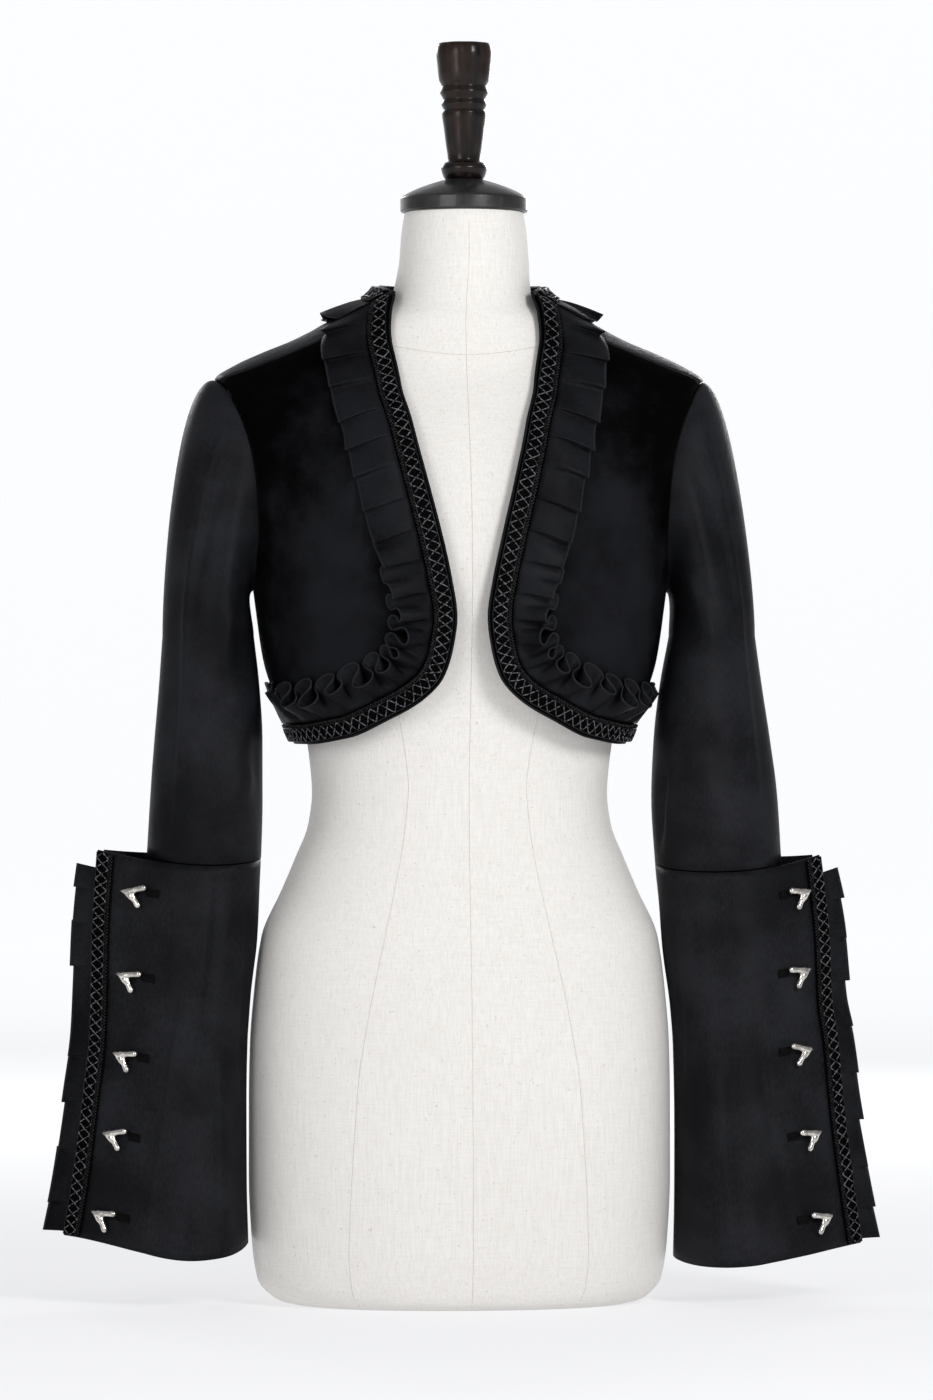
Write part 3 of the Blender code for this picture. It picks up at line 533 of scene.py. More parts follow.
def side_line(foot_angle, seam, rows):
    """A panel's outer line in (turn, z): up the side seam, then round its part of the armhole."""
    hole = armhole(hole_angles(foot_angle))
    hole[0, 0] = seam
    under = np.linspace((seam, HEM_Z), hole[0], rows + 1)
    return np.concatenate([under[:-1], hole])


def front_grid(side_rows, columns):
    """One front, from its edge to the side seam and armhole."""
    _, front, _ = half_edge()
    seam = math.radians(90) - 0.5 * SEAM_GAP / 165
    outer = side_line(math.pi, seam, side_rows)
    shares = 1 - (1 - np.linspace(0, 1, len(outer))) ** 1.35
    upper = spaced(front[: FRONT_CORNER_ROW + 1][::-1], shares)
    lower = evenly(front[FRONT_CORNER_ROW:] + [(seam, HEM_Z)], columns)
    shoulder = [front[0]] + [(math.radians(t), z) for t, z in SHOULDER_SEAM] + [tuple(outer[-1])]
    shoulder = evenly(shoulder, columns)
    shoulder[:, 1] -= 1.9 * SEAM_GAP
    upper[-1] = shoulder[0]
    outer[-1] = shoulder[-1]
    return patch(lower, shoulder, upper, outer, shares, 1.0)


def back_grid(side_rows, columns):
    """The back, from side seam to side seam, over the shoulders to the neck."""
    neck, front, _ = half_edge()
    seam = math.radians(90) + 0.5 * SEAM_GAP / 165
    outer = side_line(-math.pi, seam, side_rows)
    shares = 1 - (1 - np.linspace(0, 1, len(outer))) ** 1.6
    low = evenly([(seam, HEM_Z), (math.pi, HEM_Z), (2 * math.pi - seam, HEM_Z)], 2 * columns + 1)
    shoulder = [tuple(outer[-1])]
    shoulder += [(math.radians(t), z) for t, z in SHOULDER_SEAM[::-1]]
    shoulder = evenly(shoulder + [front[0]], columns // 2 + 1)
    shoulder[:, 1] += 1.9 * SEAM_GAP
    half_neck = evenly([tuple(shoulder[-1])] + neck[::-1], columns - columns // 2 + 1)
    half = np.concatenate([shoulder, half_neck[1:]])
    other = half[::-1][1:].copy()
    other[:, 0] = 2 * math.pi - other[:, 0]
    top = np.concatenate([half, other])
    outer[-1] = top[0]
    far = outer.copy()
    far[:, 0] = 2 * math.pi - far[:, 0]
    return patch(low, top, outer, far, shares, 8.0)


def level(values, turn):
    """A tilted, slightly dipped ring's height at a turn from the outer side over the back."""
    out, front, inner, back = values
    middle = (out + front + inner + back) / 4
    dip = (out + inner - front - back) / 4
    tilt_x = (out - inner) / 2
    tilt_y = (back - front) / 2
    return middle + tilt_x * np.cos(turn) + tilt_y * np.sin(turn) + dip * np.cos(2 * turn)


def sleeve_grid(side, head_rows, rows):
    """Rings of a sleeve, from the armhole down to the elbow seam."""
    sign = -1 if side == "left" else 1
    turn = np.arange(SLEEVE_COLUMNS) * 2 * math.pi / SLEEVE_COLUMNS
    start = armhole(turn, SLEEVE_INSET)
    place, _, _, normal = body_frame(sign * start[:, 0], start[:, 1])
    place = place - SLEEVE_UNDER * normal
    outward = 20 + SLEEVE_HEAD_REACH[side] * (0.5 + 0.5 * np.cos(turn))
    rise = SLEEVE_HEAD_RISE[side] * np.clip(np.cos(turn), 0, 1) ** 2
    upward = np.stack([0 * rise, 0 * rise, rise], axis=-1)
    first = outward[:, None] * (np.array([sign * 0.85, 0, 0]) + 0.45 * normal + upward)

    def ring(z_at, z):
        low = SLEEVE(side + "_in", z_at)
        high = SLEEVE(side + "_out", z_at)
        x = (low + high) / 2 + (high - low) / 2 * np.cos(turn)
        y = SLEEVE("mid_y", z_at) - SLEEVE("deep", z_at) * np.sin(turn)
        return np.stack([sign * x, y, z + 0 * turn], axis=-1)

    end = ring(SLEEVE_TOP_Z, SLEEVE_TOP_Z)
    fall = 10 + 0.72 * (place[:, 2] - SLEEVE_TOP_Z)
    last = np.stack([0 * fall, 0 * fall, -fall], axis=-1)
    rings = []
    for s in np.linspace(0, 1, head_rows) ** 1.25:
        rings.append(eased(place, first, end, last, s))
    foot = level(SEAM_LEVEL[side], -turn) + 2.6 * SEAM_GAP
    for s in np.linspace(0, 1, rows + 1)[1:]:
        z = SLEEVE_TOP_Z + (foot - SLEEVE_TOP_Z) * s
        rings.append(ring(z, z))
    grid = np.stack(rings)
    middle = grid.mean(axis=1, keepdims=True)
    way = unit((grid - middle) * [1, 1, 0.2])
    for centre, height, run, wide, out in SLEEVE_FOLDS[side]:
        off = (np.degrees(turn)[None] - centre + 180) % 360 - 180
        along = (grid[..., 2] - height) / run
        fade = np.clip((np.arange(len(rings)) / FINE - 1) / 3, 0, 1)[:, None]
        end_fade = np.clip((len(rings) - 1 - np.arange(len(rings))) / FINE / 2, 0, 1)[:, None]
        lift = out * np.exp(-((off / wide) ** 2) - along**2) * fade * end_fade
        grid = grid + way * lift[..., None]
    start_fade = np.clip(np.arange(len(rings)) / FINE - 0.6, 0, 1)[:, None]
    end_fade = np.clip((len(rings) - 1 - np.arange(len(rings))) / FINE, 0, 1)[:, None]
    lift = crease_lift(SLEEVE_CREASES[side], np.degrees(turn)[None], grid[..., 2], 360, 0.8)
    return grid + way * (1.2 * lift * start_fade * end_fade)[..., None]


def cuff_point(side, around_share, down):
    """The cuff's outer face. It wraps from its under edge round the back to its top edge."""
    sign = -1 if side == "left" else 1
    share = np.asarray(around_share, float)
    down = np.asarray(down, float)
    low = CUFF(side + "_in", down)
    high = CUFF(side + "_out", down)
    edge = CUFF(side + "_edge", down)
    deep = CUFF("deep", down)
    half = (high - low) / 2
    fin = edge - high
    corner = np.arccos(half / (half + fin))
    inner = np.clip((share - LAP_SHARE) / (1 - 2 * LAP_SHARE), 0, 1)
    turn = corner + (2 * math.pi - 2 * corner) * inner
    x = half * np.cos(turn)
    y = deep * np.sin(turn)
    under = np.clip(1 - share / LAP_SHARE, 0, 1)
    over = np.clip((share - 1 + LAP_SHARE) / LAP_SHARE, 0, 1)
    tip = half + fin
    x = x + under * (tip - LAP_SHORT - x) + over * (tip - x)
    y = y + under * (LAP_OFF - y) + over * (-LAP_OFF - y)
    for centre, wide, out in CUFF_FLUTES[side]:
        lift = out * down**1.6 * np.exp(-(((share - centre) / wide) ** 2))
        x = x + lift * np.cos(turn)
        y = y + lift * np.sin(turn)
    lift = crease_lift(CUFF_CREASES[side], share, down, 4, 1.0)
    lift = lift * np.clip(down * 12, 0, 1) * (1 - under) * (1 - over)
    x = x + lift * np.cos(turn)
    y = y + lift * np.sin(turn)
    bearing = (turn + (2 * math.pi - turn) * over) * (1 - under)
    top = level(SEAM_LEVEL[side], bearing)
    hem = level(HEM_LEVEL[side], bearing)
    top = top + 5.0 * np.maximum(under, over) ** 2
    z = top + (hem - top) * down
    middle = (low + high) / 2
    return np.stack([sign * (middle + x), CUFF("mid_y", down) + y, z], axis=-1)


def cuff_frame(side, share, down):
    """A point near the cuff's top edge, the way out along the cloth and the way off it."""
    point = cuff_point(side, share, down)
    back = cuff_point(side, share - 0.03, down)
    above = cuff_point(side, share, np.maximum(np.asarray(down) - 0.01, 0))
    below = cuff_point(side, share, np.minimum(np.asarray(down) + 0.01, 1))
    along = unit(point - back)
    normal = unit(np.cross(along, below - above))
    normal = normal * np.where(normal[..., 1] > 0, -1, 1)[..., None]
    return point, along, normal


# Further soft troughs and ridges, each along a line: its ends, half width and lift. The lifts
# are all taken times CREASE_DEPTH.
CREASE_DEPTH = 1.35
BODY_CREASES = [
    (-70, 738, -64, 676, 7, -2.0), (-64, 702, -62, 630, 6, -1.5), (-78, 602, -48, 560, 8, 1.5),
    (-82, 545, -42, 520, 9, -1.3), (-60, 668, -44, 640, 7, 0.9), (-33, 716, -29, 640, 10, 0.9),
    (70, 735, 63, 690, 7, -2.0), (64, 692, 67, 615, 7, -1.9), (80, 592, 50, 548, 8, 1.5),
    (80, 533, 44, 512, 9, -1.3), (58, 660, 46, 628, 6, 0.9), (34, 720, 31, 648, 10, 0.9),
    (112, 722, 120, 640, 8, -2.0), (-113, 716, -121, 632, 8, -1.8),
    (164, 702, 171, 560, 12, 1.4), (-168, 690, -160, 548, 12, -1.3),
    (141, 524, 126, 470, 9, 1.6), (-138, 527, -129, 468, 9, 1.5), (176, 560, 150, 520, 10, -1.2),
]
SLEEVE_CREASES = {
    "left": [
        (50, 728, 54, 384, 4.5, 1.3), (66, 716, 64, 520, 7, -1.2), (84, 716, 98, 690, 4, -1.2),
        (94, 700, 108, 672, 4, -1.0), (76, 690, 86, 660, 4, -0.9), (128, 470, 72, 446, 8, -1.8),
        (146, 432, 92, 404, 8, 1.5), (60, 402, 24, 386, 8, -1.2), (120, 560, 88, 500, 10, 1.2),
        (250, 505, 292, 470, 9, -2.0), (238, 446, 288, 420, 9, 1.8),
        (300, 655, 318, 560, 10, -1.6), (262, 700, 252, 660, 5, -1.1),
    ],
    "right": [
        (46, 724, 52, 392, 4.5, 1.2), (70, 700, 60, 560, 7, -1.2), (82, 712, 98, 684, 4, -1.1),
        (98, 696, 112, 664, 4, -1.0), (150, 436, 160, 370, 6, -2.6),
        (126, 474, 80, 440, 8, -1.7), (110, 420, 60, 396, 8, 1.4), (124, 590, 92, 530, 10, 1.3),
        (246, 510, 290, 478, 9, -2.0), (240, 450, 282, 424, 9, 1.8),
        (306, 650, 316, 556, 10, -1.5), (258, 704, 250, 664, 5, -1.1),
    ],
}
CUFF_CREASES = {
    "left": [
        (0.72, 0.04, 0.75, 0.55, 0.020, -1.4), (0.80, 0.30, 0.86, 0.98, 0.022, 1.4),
        (0.68, 0.50, 0.66, 1.00, 0.024, 2.2), (0.62, 0.10, 0.58, 0.60, 0.018, -1.2),
        (0.50, 0.02, 0.53, 0.40, 0.020, -1.3), (0.36, 0.30, 0.33, 1.00, 0.024, 1.8),
        (0.26, 0.05, 0.29, 0.60, 0.020, -1.4), (0.44, 0.55, 0.46, 1.00, 0.024, -1.8),
    ],
    "right": [
        (0.74, 0.05, 0.72, 0.60, 0.020, -1.5), (0.82, 0.40, 0.87, 0.98, 0.020, -1.6),
        (0.68, 0.45, 0.70, 1.00, 0.024, 2.4), (0.60, 0.08, 0.57, 0.55, 0.018, -1.2),
        (0.50, 0.03, 0.47, 0.45, 0.020, -1.3), (0.38, 0.35, 0.40, 1.00, 0.024, 1.8),
        (0.27, 0.06, 0.24, 0.65, 0.020, -1.4), (0.33, 0.60, 0.31, 1.00, 0.024, -1.6),
    ],
}


def crease_lift(creases, across, down, ring, scale):
    """The lift of the cloth at places across and down it. Ring is one whole turn across."""
    lift = 0.0
    for across_1, down_1, across_2, down_2, wide, out in creases:
        run_across = (across_2 - across_1) * scale
        run_down = down_2 - down_1
        length = math.hypot(run_across, run_down)
        off_across = ((across - across_1 + ring / 2) % ring - ring / 2) * scale
        off_down = down - down_1
        along = (off_across * run_across + off_down * run_down) / length**2
        off = (off_across * run_down - off_down * run_across) / length
        # One flank of a crease is steeper than the other.
        steep = np.where(off > 0, 0.7, 1.25)
        fade = np.clip(np.minimum(along, 1 - along) * 3.2 + 0.35, 0, 1)
        fade = fade * fade * (3 - 2 * fade)
        lift = lift + out * fade * np.exp(-((off / (wide * steep)) ** 2))
    return CREASE_DEPTH * lift


def deselect():
    bpy.ops.object.select_all(action="DESELECT")


def made_active(obj):
    deselect()
    obj.select_set(True)
    bpy.context.view_layer.objects.active = obj
    return obj


def apply_all(obj):
    made_active(obj)
    for modifier in list(obj.modifiers):
        bpy.ops.object.modifier_apply(modifier=modifier.name)


def finished(obj, name, finish):
    """Names a piece, gives it its finish and lets it ride with the jacket's body."""
    obj.name = name
    obj.data.name = name
    obj.data.materials.clear()
    obj.data.materials.append(finish)
    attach(obj, "root")
    return obj


def shaped_grid(points, wraps=False, outward=None, deep=None):
    """A grid primitive with its points moved to a table of places in millimetres.

    Deep is the cut depth of a strip, where its UV map is to run over just that.
    """
    rows, columns = points.shape[:2]
    if wraps:
        points = np.concatenate([points, points[:, :1]], axis=1)
        columns += 1
    deselect()
    bpy.ops.mesh.primitive_grid_add(x_subdivisions=columns - 1, y_subdivisions=rows - 1)
    obj = bpy.context.object
    place = points.copy()
    place[..., 2] -= BASE_Z
    obj.data.vertices.foreach_set("co", (place * MM).reshape(-1))
    across = np.linalg.norm(np.diff(points, axis=1), axis=2).sum(axis=1).max() * MM
    high = np.linalg.norm(np.diff(points, axis=0), axis=2).sum(axis=0).max() * MM
    if deep:
        high = deep * MM
    layer = obj.data.uv_layers.active.data
    uv = np.empty(len(layer) * 2)
    layer.foreach_get("uv", uv)
    uv = uv.reshape(-1, 2) * (across, high)
    layer.foreach_set("uv", uv.reshape(-1))
    obj.data.update()
    if wraps:
        bpy.ops.object.mode_set(mode="EDIT")
        bpy.ops.mesh.select_all(action="SELECT")
        bpy.ops.mesh.remove_doubles(threshold=0.00002)
        bpy.ops.object.mode_set(mode="OBJECT")
    if outward is not None:
        facing = 0.0
        for face in obj.data.polygons:
            facing += face.area * face.normal.dot(outward(face.center))
        if facing < 0:
            obj.data.flip_normals()
    obj.data.shade_smooth()
    return obj


def away_from(x=0.0, y=0.0):
    def outward(centre):
        way = centre.copy()
        way.x -= x * MM
        way.y -= y * MM
        way.z = 0
        return way.normalized()

    return outward


def to_front(centre):
    way = centre.copy()
    way.xyz = (0, -1, 0)
    return way


def walled(obj, wall):
    solid = obj.modifiers.new("Wall", "SOLIDIFY")
    solid.thickness = wall * MM
    solid.offset = -1
    solid.use_rim = True
    apply_all(obj)
    return obj


def tube(paths, radius, sides=1):
    """Round threads along lines of places in millimetres, joined as one mesh.

    A fourth column in a line is its own radius.
    """
    curve = bpy.data.curves.new("thread", "CURVE")
    curve.dimensions = "3D"
    curve.bevel_depth = radius * MM
    curve.bevel_resolution = sides
    curve.use_fill_caps = True
    for path in paths:
        spline = curve.splines.new("POLY")
        spline.points.add(len(path) - 1)
        place = np.ones((len(path), 4))
        place[:, :3] = path[:, :3] * MM
        place[:, 2] -= BASE_Z * MM
        spline.points.foreach_set("co", place.reshape(-1))
        if path.shape[1] == 4:
            spline.points.foreach_set("radius", path[:, 3] / radius)
    obj = bpy.data.objects.new("thread", curve)
    bpy.context.scene.collection.objects.link(obj)
    made_active(obj)
    bpy.ops.object.convert(target="MESH")
    obj = bpy.context.object
    obj.data.shade_smooth()
    return obj


class Value:
    """A number that varies over a surface. Arithmetic on it adds Math nodes."""

    def __init__(self, finish, socket):
        self.finish = finish
        self.socket = socket

    def combine(self, operation, first, second):
        made = self.finish.node("ShaderNodeMath", {"operation": operation}, {0: first, 1: second})
        return Value(self.finish, made.outputs[0])

    def __add__(self, other):
        return self.combine("ADD", self, other)

    def __sub__(self, other):
        return self.combine("SUBTRACT", self, other)

    def __rsub__(self, other):
        return self.combine("SUBTRACT", other, self)

    def __mul__(self, other):
        return self.combine("MULTIPLY", self, other)

    def __rmul__(self, other):
        return self.combine("MULTIPLY", other, self)

    def __pow__(self, other):
        return self.combine("POWER", self, other)

    def sine(self):
        return self.combine("SINE", self, 0.0)


class Finish:
    """A material: its shader's own settings, and the nodes that vary them."""

    def __init__(self, name, colour, **settings):
        self.material = bpy.data.materials.new(name)
        self.material.use_nodes = True
        self.tree = self.material.node_tree
        self.shader = self.tree.nodes["Principled BSDF"]
        self.shader.inputs["Base Color"].default_value = (*colour, 1)
        for key, value in settings.items():
            title = key.replace("_", " ").title().replace("Ior", "IOR")
            self.shader.inputs[title].default_value = value

    def node(self, kind, settings, inputs):
        made = self.tree.nodes.new(kind)
        for key, value in settings.items():
            setattr(made, key, value)
        for key, value in inputs.items():
            if isinstance(value, Value):
                self.tree.links.new(value.socket, made.inputs[key])
            elif hasattr(value, "is_linked"):
                self.tree.links.new(value, made.inputs[key])
            else:
                made.inputs[key].default_value = value
        return made

    def places(self, by_uv=False):
        made = self.node("ShaderNodeTexCoord", {}, {})
        return made.outputs["UV" if by_uv else "Object"]

    def noise(self, scale, detail=3.0, rough=0.55, by_uv=False, stretch=None):
        places = self.places(by_uv)
        if stretch:
            mapped = self.node("ShaderNodeMapping", {}, {"Vector": places, "Scale": stretch})
            places = mapped.outputs[0]
        made = self.node(
            "ShaderNodeTexNoise",
            {},
            {"Vector": places, "Scale": scale, "Detail": detail, "Roughness": rough},
        )
        return Value(self, made.outputs[0])

    def cells(self, scale):
        made = self.node(
            "ShaderNodeTexVoronoi", {}, {"Vector": self.places(), "Scale": scale}
        )
        return Value(self, made.outputs["Distance"])

    def ramp(self, value, low, high, low_shade=0.0, high_shade=1.0):
        made = self.node(
            "ShaderNodeMapRange",
            {"clamp": True, "interpolation_type": "SMOOTHSTEP"},
            {0: value, 1: low, 2: high, 3: low_shade, 4: high_shade},
        )
        return Value(self, made.outputs[0])

    def mix(self, share, first, second):
        def full(colour):
            return colour if hasattr(colour, "is_linked") else (*colour, 1)

        made = self.node(
            "ShaderNodeMix",
            {"data_type": "RGBA"},
            {0: share, 6: full(first), 7: full(second)},
        )
        return made.outputs[2]

    def colour(self, socket):
        self.tree.links.new(socket, self.shader.inputs["Base Color"])

    def roughness(self, value):
        self.tree.links.new(value.socket, self.shader.inputs["Roughness"])

    def bump(self, value, depth, strength=1.0):
        made = self.node(
            "ShaderNodeBump", {}, {"Height": value, "Distance": depth, "Strength": strength}
        )
        self.tree.links.new(made.outputs[0], self.shader.inputs["Normal"])


def velvet_finish():
    finish = Finish(
        "velvet_pile",
        (0.0030, 0.0030, 0.0036),
        roughness=0.8,
        specular_ior_level=0.02,
        sheen_weight=0.006,
        sheen_roughness=0.32,
    )
    finish.shader.inputs["Sheen Tint"].default_value = (0.62, 0.65, 0.72, 1)
    # This coarse noise makes the pile's roughness and relief, and in the colour below it also paints
    # mottled sheen.
    brushed_pile_and_painted_sheen = finish.noise(16.0, 4.0, 0.6)
    split = finish.node("ShaderNodeSeparateXYZ", {}, {0: finish.places()})
    aside = ((Value(finish, split.outputs[0]) ** 2.0) ** 0.5 - 0.108) * 24.0
    above = (Value(finish, split.outputs[2]) - 0.575) * 9.5
    # Painted highlight: a soft lit patch low on each front, where the nap would catch the light.
    lit = finish.ramp(aside * aside + above * above, 2.6, 0.1)
    pile = finish.noise(900.0, 2.0, 0.7)
    # The base colour carries painted sheen: the lit patch and the coarse noise lighten it where the
    # nap would shine. The fine pile noise is the cloth's own grain.
    lie = finish.ramp(lit * 0.36 + brushed_pile_and_painted_sheen + 0.25 * pile, 0.60, 1.14)
    finish.colour(finish.mix(lie, (0.0002, 0.0002, 0.0003), (0.0098, 0.0102, 0.0122)))
    finish.roughness(finish.ramp(brushed_pile_and_painted_sheen, 0.3, 0.7, 0.66, 0.88))
    finish.bump(brushed_pile_and_painted_sheen * 0.5 + 0.5 * pile, 0.0006, 0.5)
    return finish.material


def satin_finish(name, colour, light, shine):
    """A dense satin-backed cloth with a fine diagonal weave."""
    finish = Finish(name, colour, roughness=0.42, specular_ior_level=shine)
    split = finish.node("ShaderNodeSeparateXYZ", {}, {0: finish.places(by_uv=True)})
    across = Value(finish, split.outputs[0])
    along = Value(finish, split.outputs[1])
    weave = ((across + along) * 5200.0).sine() * 0.5 + 0.5
    slub = finish.noise(460.0, 3.0, 0.6, by_uv=True, stretch=(1.0, 0.5, 1.0))
    cloudy = finish.noise(14.0, 4.0, 0.55)
    tone = finish.ramp(cloudy * 0.7 + 0.3 * slub, 0.36, 0.66)
    finish.colour(finish.mix(tone, colour, light))
    finish.roughness(finish.ramp(slub, 0.25, 0.75, 0.36, 0.52))
    finish.bump(weave * 0.35 + 0.65 * slub, 0.0004, 0.45)
    return finish


def ruffle_finish(wide):
    """The pleated strip's satin, with a painted highlight along the fold of its free edge."""
    finish = satin_finish(
        f"ruffle_satin_{round(wide)}", (0.0024, 0.0025, 0.0033), (0.0100, 0.0104, 0.0126), 0.05
    )
    split = finish.node("ShaderNodeSeparateXYZ", {}, {0: finish.places(by_uv=True)})
    off = Value(finish, split.outputs[1])
    # Painted highlight: the colour turns lighter over the last millimetres of the strip, where its
    # fold would catch the light.
    painted_edge_highlight = finish.ramp(off, (wide - 1.7) * MM, (wide - 1.1) * MM)
    plain = finish.shader.inputs["Base Color"].links[0].from_socket
    finish.colour(finish.mix(painted_edge_highlight, plain, (0.016, 0.0165, 0.019)))
    return finish.material


def braid_finish():
    finish = Finish("braid_tape", (0.002, 0.002, 0.0024), specular_ior_level=0.03)
    grain = finish.cells(620.0)
    speck = finish.ramp(grain, 0.08, 0.42)
    finish.colour(finish.mix(speck, (0.0014, 0.0014, 0.0017), (0.0002, 0.0002, 0.0003)))
    finish.roughness(finish.ramp(grain, 0.1, 0.7, 0.42, 0.75))
    finish.bump(1.0 - grain, 0.0006, 0.6)
    return finish.material


def thread_finish(name, light):
    # The base colour paints glints on the threads: where the noise is high the thread is painted
    # light, and light sets how bright these painted glints are.
    finish = Finish(name, (0.006, 0.006, 0.007), coat_weight=0.05, specular_ior_level=0.12)
    twist = finish.noise(520.0, 3.0, 0.65)
    painted_glint = finish.ramp(twist, 0.40, 0.62)
    painted_glint_colour = (light, light, 1.09 * light)
    finish.colour(finish.mix(painted_glint, (0.0008, 0.0008, 0.0010), painted_glint_colour))
    finish.roughness(finish.ramp(twist, 0.3, 0.7, 0.16, 0.36))
    finish.bump(twist, 0.0004, 0.7)
    return finish.material


def linen_finish():
    finish = Finish(
        "form_linen", (0.66, 0.63, 0.58), roughness=0.92, specular_ior_level=0.18, sheen_weight=0.12
    )
    warp = finish.noise(820.0, 2.0, 0.6, stretch=(1.0, 1.0, 0.06))
    weft = finish.noise(820.0, 2.0, 0.6, stretch=(0.08, 0.08, 1.0))
    flecks = finish.ramp(finish.noise(210.0, 3.0, 0.62), 0.66, 0.74)
    seeds = finish.ramp(finish.noise(520.0, 1.0, 0.5), 0.70, 0.76)
    threads = finish.ramp(warp * 1.3 + weft * 0.7, 0.7, 1.3)
    cloth = finish.mix(threads, (0.675, 0.654, 0.622), (0.742, 0.724, 0.697))
    cloth = finish.mix(flecks * 0.42, cloth, (0.42, 0.36, 0.30))
    cloth = finish.mix(seeds * 0.42, cloth, (0.36, 0.31, 0.26))
    cloudy = finish.ramp(finish.noise(9.0, 3.0, 0.5), 0.3, 0.75)
    finish.colour(finish.mix(cloudy * 0.16, cloth, (0.62, 0.60, 0.572)))
    finish.bump(warp + weft, 0.0003, 0.25)
    return finish.material


def grained(name, base, grain, shades, sharp, rough=None, bump=None, **settings):
    """A finish whose colour goes between two shades with a grain: scale, detail, roughness.

    Sharp gives the part of the grain over which it goes, rough the roughness at its two ends
    and bump the depth and strength of its relief.
    """
    finish = Finish(name, base, **settings)
    stretch = grain[3] if len(grain) > 3 else None
    noise = finish.noise(*grain[:3], stretch=stretch)
    finish.colour(finish.mix(finish.ramp(noise, *sharp), *shades))
    if rough:
        finish.roughness(finish.ramp(noise, 0.3, 0.7, *rough))
    if bump:
        finish.bump(noise, *bump)
    return finish.material


def silver_finish():
    return grained(
        "polished_silver",
        (0.66, 0.64, 0.60),
        (170.0, 4.0, 0.6),
        ((0.74, 0.71, 0.66), (0.34, 0.32, 0.30)),
        (0.35, 0.7),
        rough=(0.14, 0.34),
        bump=(0.0006, 0.35),
        metallic=1.0,
    )


def seam_finish():
    return grained(
        "form_seam",
        (0.46, 0.42, 0.37),
        (700.0, 2.0, 0.6),
        ((0.54, 0.51, 0.47), (0.66, 0.63, 0.59)),
        (0.4, 0.6),
        roughness=0.95,
    )


def cap_finish():
    return grained(
        "cap_lacquer",
        (0.012, 0.012, 0.013),
        (90.0, 4.0, 0.6),
        ((0.009, 0.009, 0.010), (0.022, 0.021, 0.021)),
        (0.35, 0.7),
        rough=(0.30, 0.44),
        bump=(0.0003, 0.3),
        coat_weight=0.15,
        specular_ior_level=0.35,
    )


def wood_finish():
    return grained(
        "finial_wood",
        (0.020, 0.012, 0.008),
        (60.0, 5.0, 0.6, (1.0, 1.0, 0.16)),
        ((0.002, 0.0013, 0.001), (0.018, 0.009, 0.006)),
        (0.35, 0.65),
        rough=(0.20, 0.36),
        bump=(0.0005, 0.4),
        coat_weight=0.10,
        coat_roughness=0.08,
        specular_ior_level=0.2,
    )


def welt_finish():
    # The cord's own near-black, darkened further as painted shade of the buttonhole's slit. The noise
    # is the cord's grain.
    return grained(
        "buttonhole_cord_painted_shade",
        (0.001, 0.001, 0.001),
        (1300.0, 2.0, 0.6, (0.2, 1.0, 1.0)),
        ((0.0005, 0.0005, 0.0006), (0.0040, 0.0040, 0.0046)),
        (0.4, 0.6),
        bump=(0.0005, 0.6),
        roughness=0.7,
        specular_ior_level=0.05,
    )


def knife(u):
    """How high a knife pleat's cloth stands at a share of its pitch: a slow rise, then a fold."""
    rise = np.clip(u / 0.78, 0, 1)
    rise = 0.45 * rise + 0.55 * rise**2
    fall = np.clip((u - 0.78) / 0.22, 0, 1)
    return rise * (0.5 + 0.5 * np.cos(math.pi * fall))


def pleated_line(start, end, pitch, marks):
    """Places along a pleated strip, its lift pressed, its lift and sway open, and the pitch."""
    count = max(1, round((end - start) / pitch))
    pitch = (end - start) / count
    k = np.repeat(np.arange(count), marks)
    u = np.tile(np.arange(marks) / marks, count)
    u = np.append(u, 0.0)
    k = np.append(k, count)
    # Each pleat differs a little from the next in place and height.
    uneven = 0.10 * np.sin(2.1 * k + 0.6)
    at = start + pitch * (k + u + uneven * np.sin(math.pi * u))
    share = knife(u) * (0.84 + 0.16 * np.cos(1.7 * k))
    round_lobe = (np.cos(2 * math.pi * u) + 0.075 * np.cos(6 * math.pi * u)) / 1.075
    curl = (0.5 - 0.5 * round_lobe) * (0.86 + 0.14 * np.cos(2.3 * k))
    sway = 0.27 * np.sin(4 * math.pi * u)
    return at, share, curl, sway, pitch


def flat_panels(joints, marks):
    """Places along a strip pressed into flat panels, the share of the lift and the pitch."""
    joints = np.array(joints)
    k = np.repeat(np.arange(len(joints) - 1), marks)
    u = np.tile(np.arange(marks) / marks, len(joints) - 1)
    pitch = (joints[1:] - joints[:-1])[k]
    at = joints[k] + pitch * u
    rise = np.clip(u / 0.86, 0, 1) * np.clip((1.0 - u) / 0.12, 0, 1)
    return np.append(at, joints[-1]), np.append(rise, 0.0), np.append(pitch, pitch[-1])


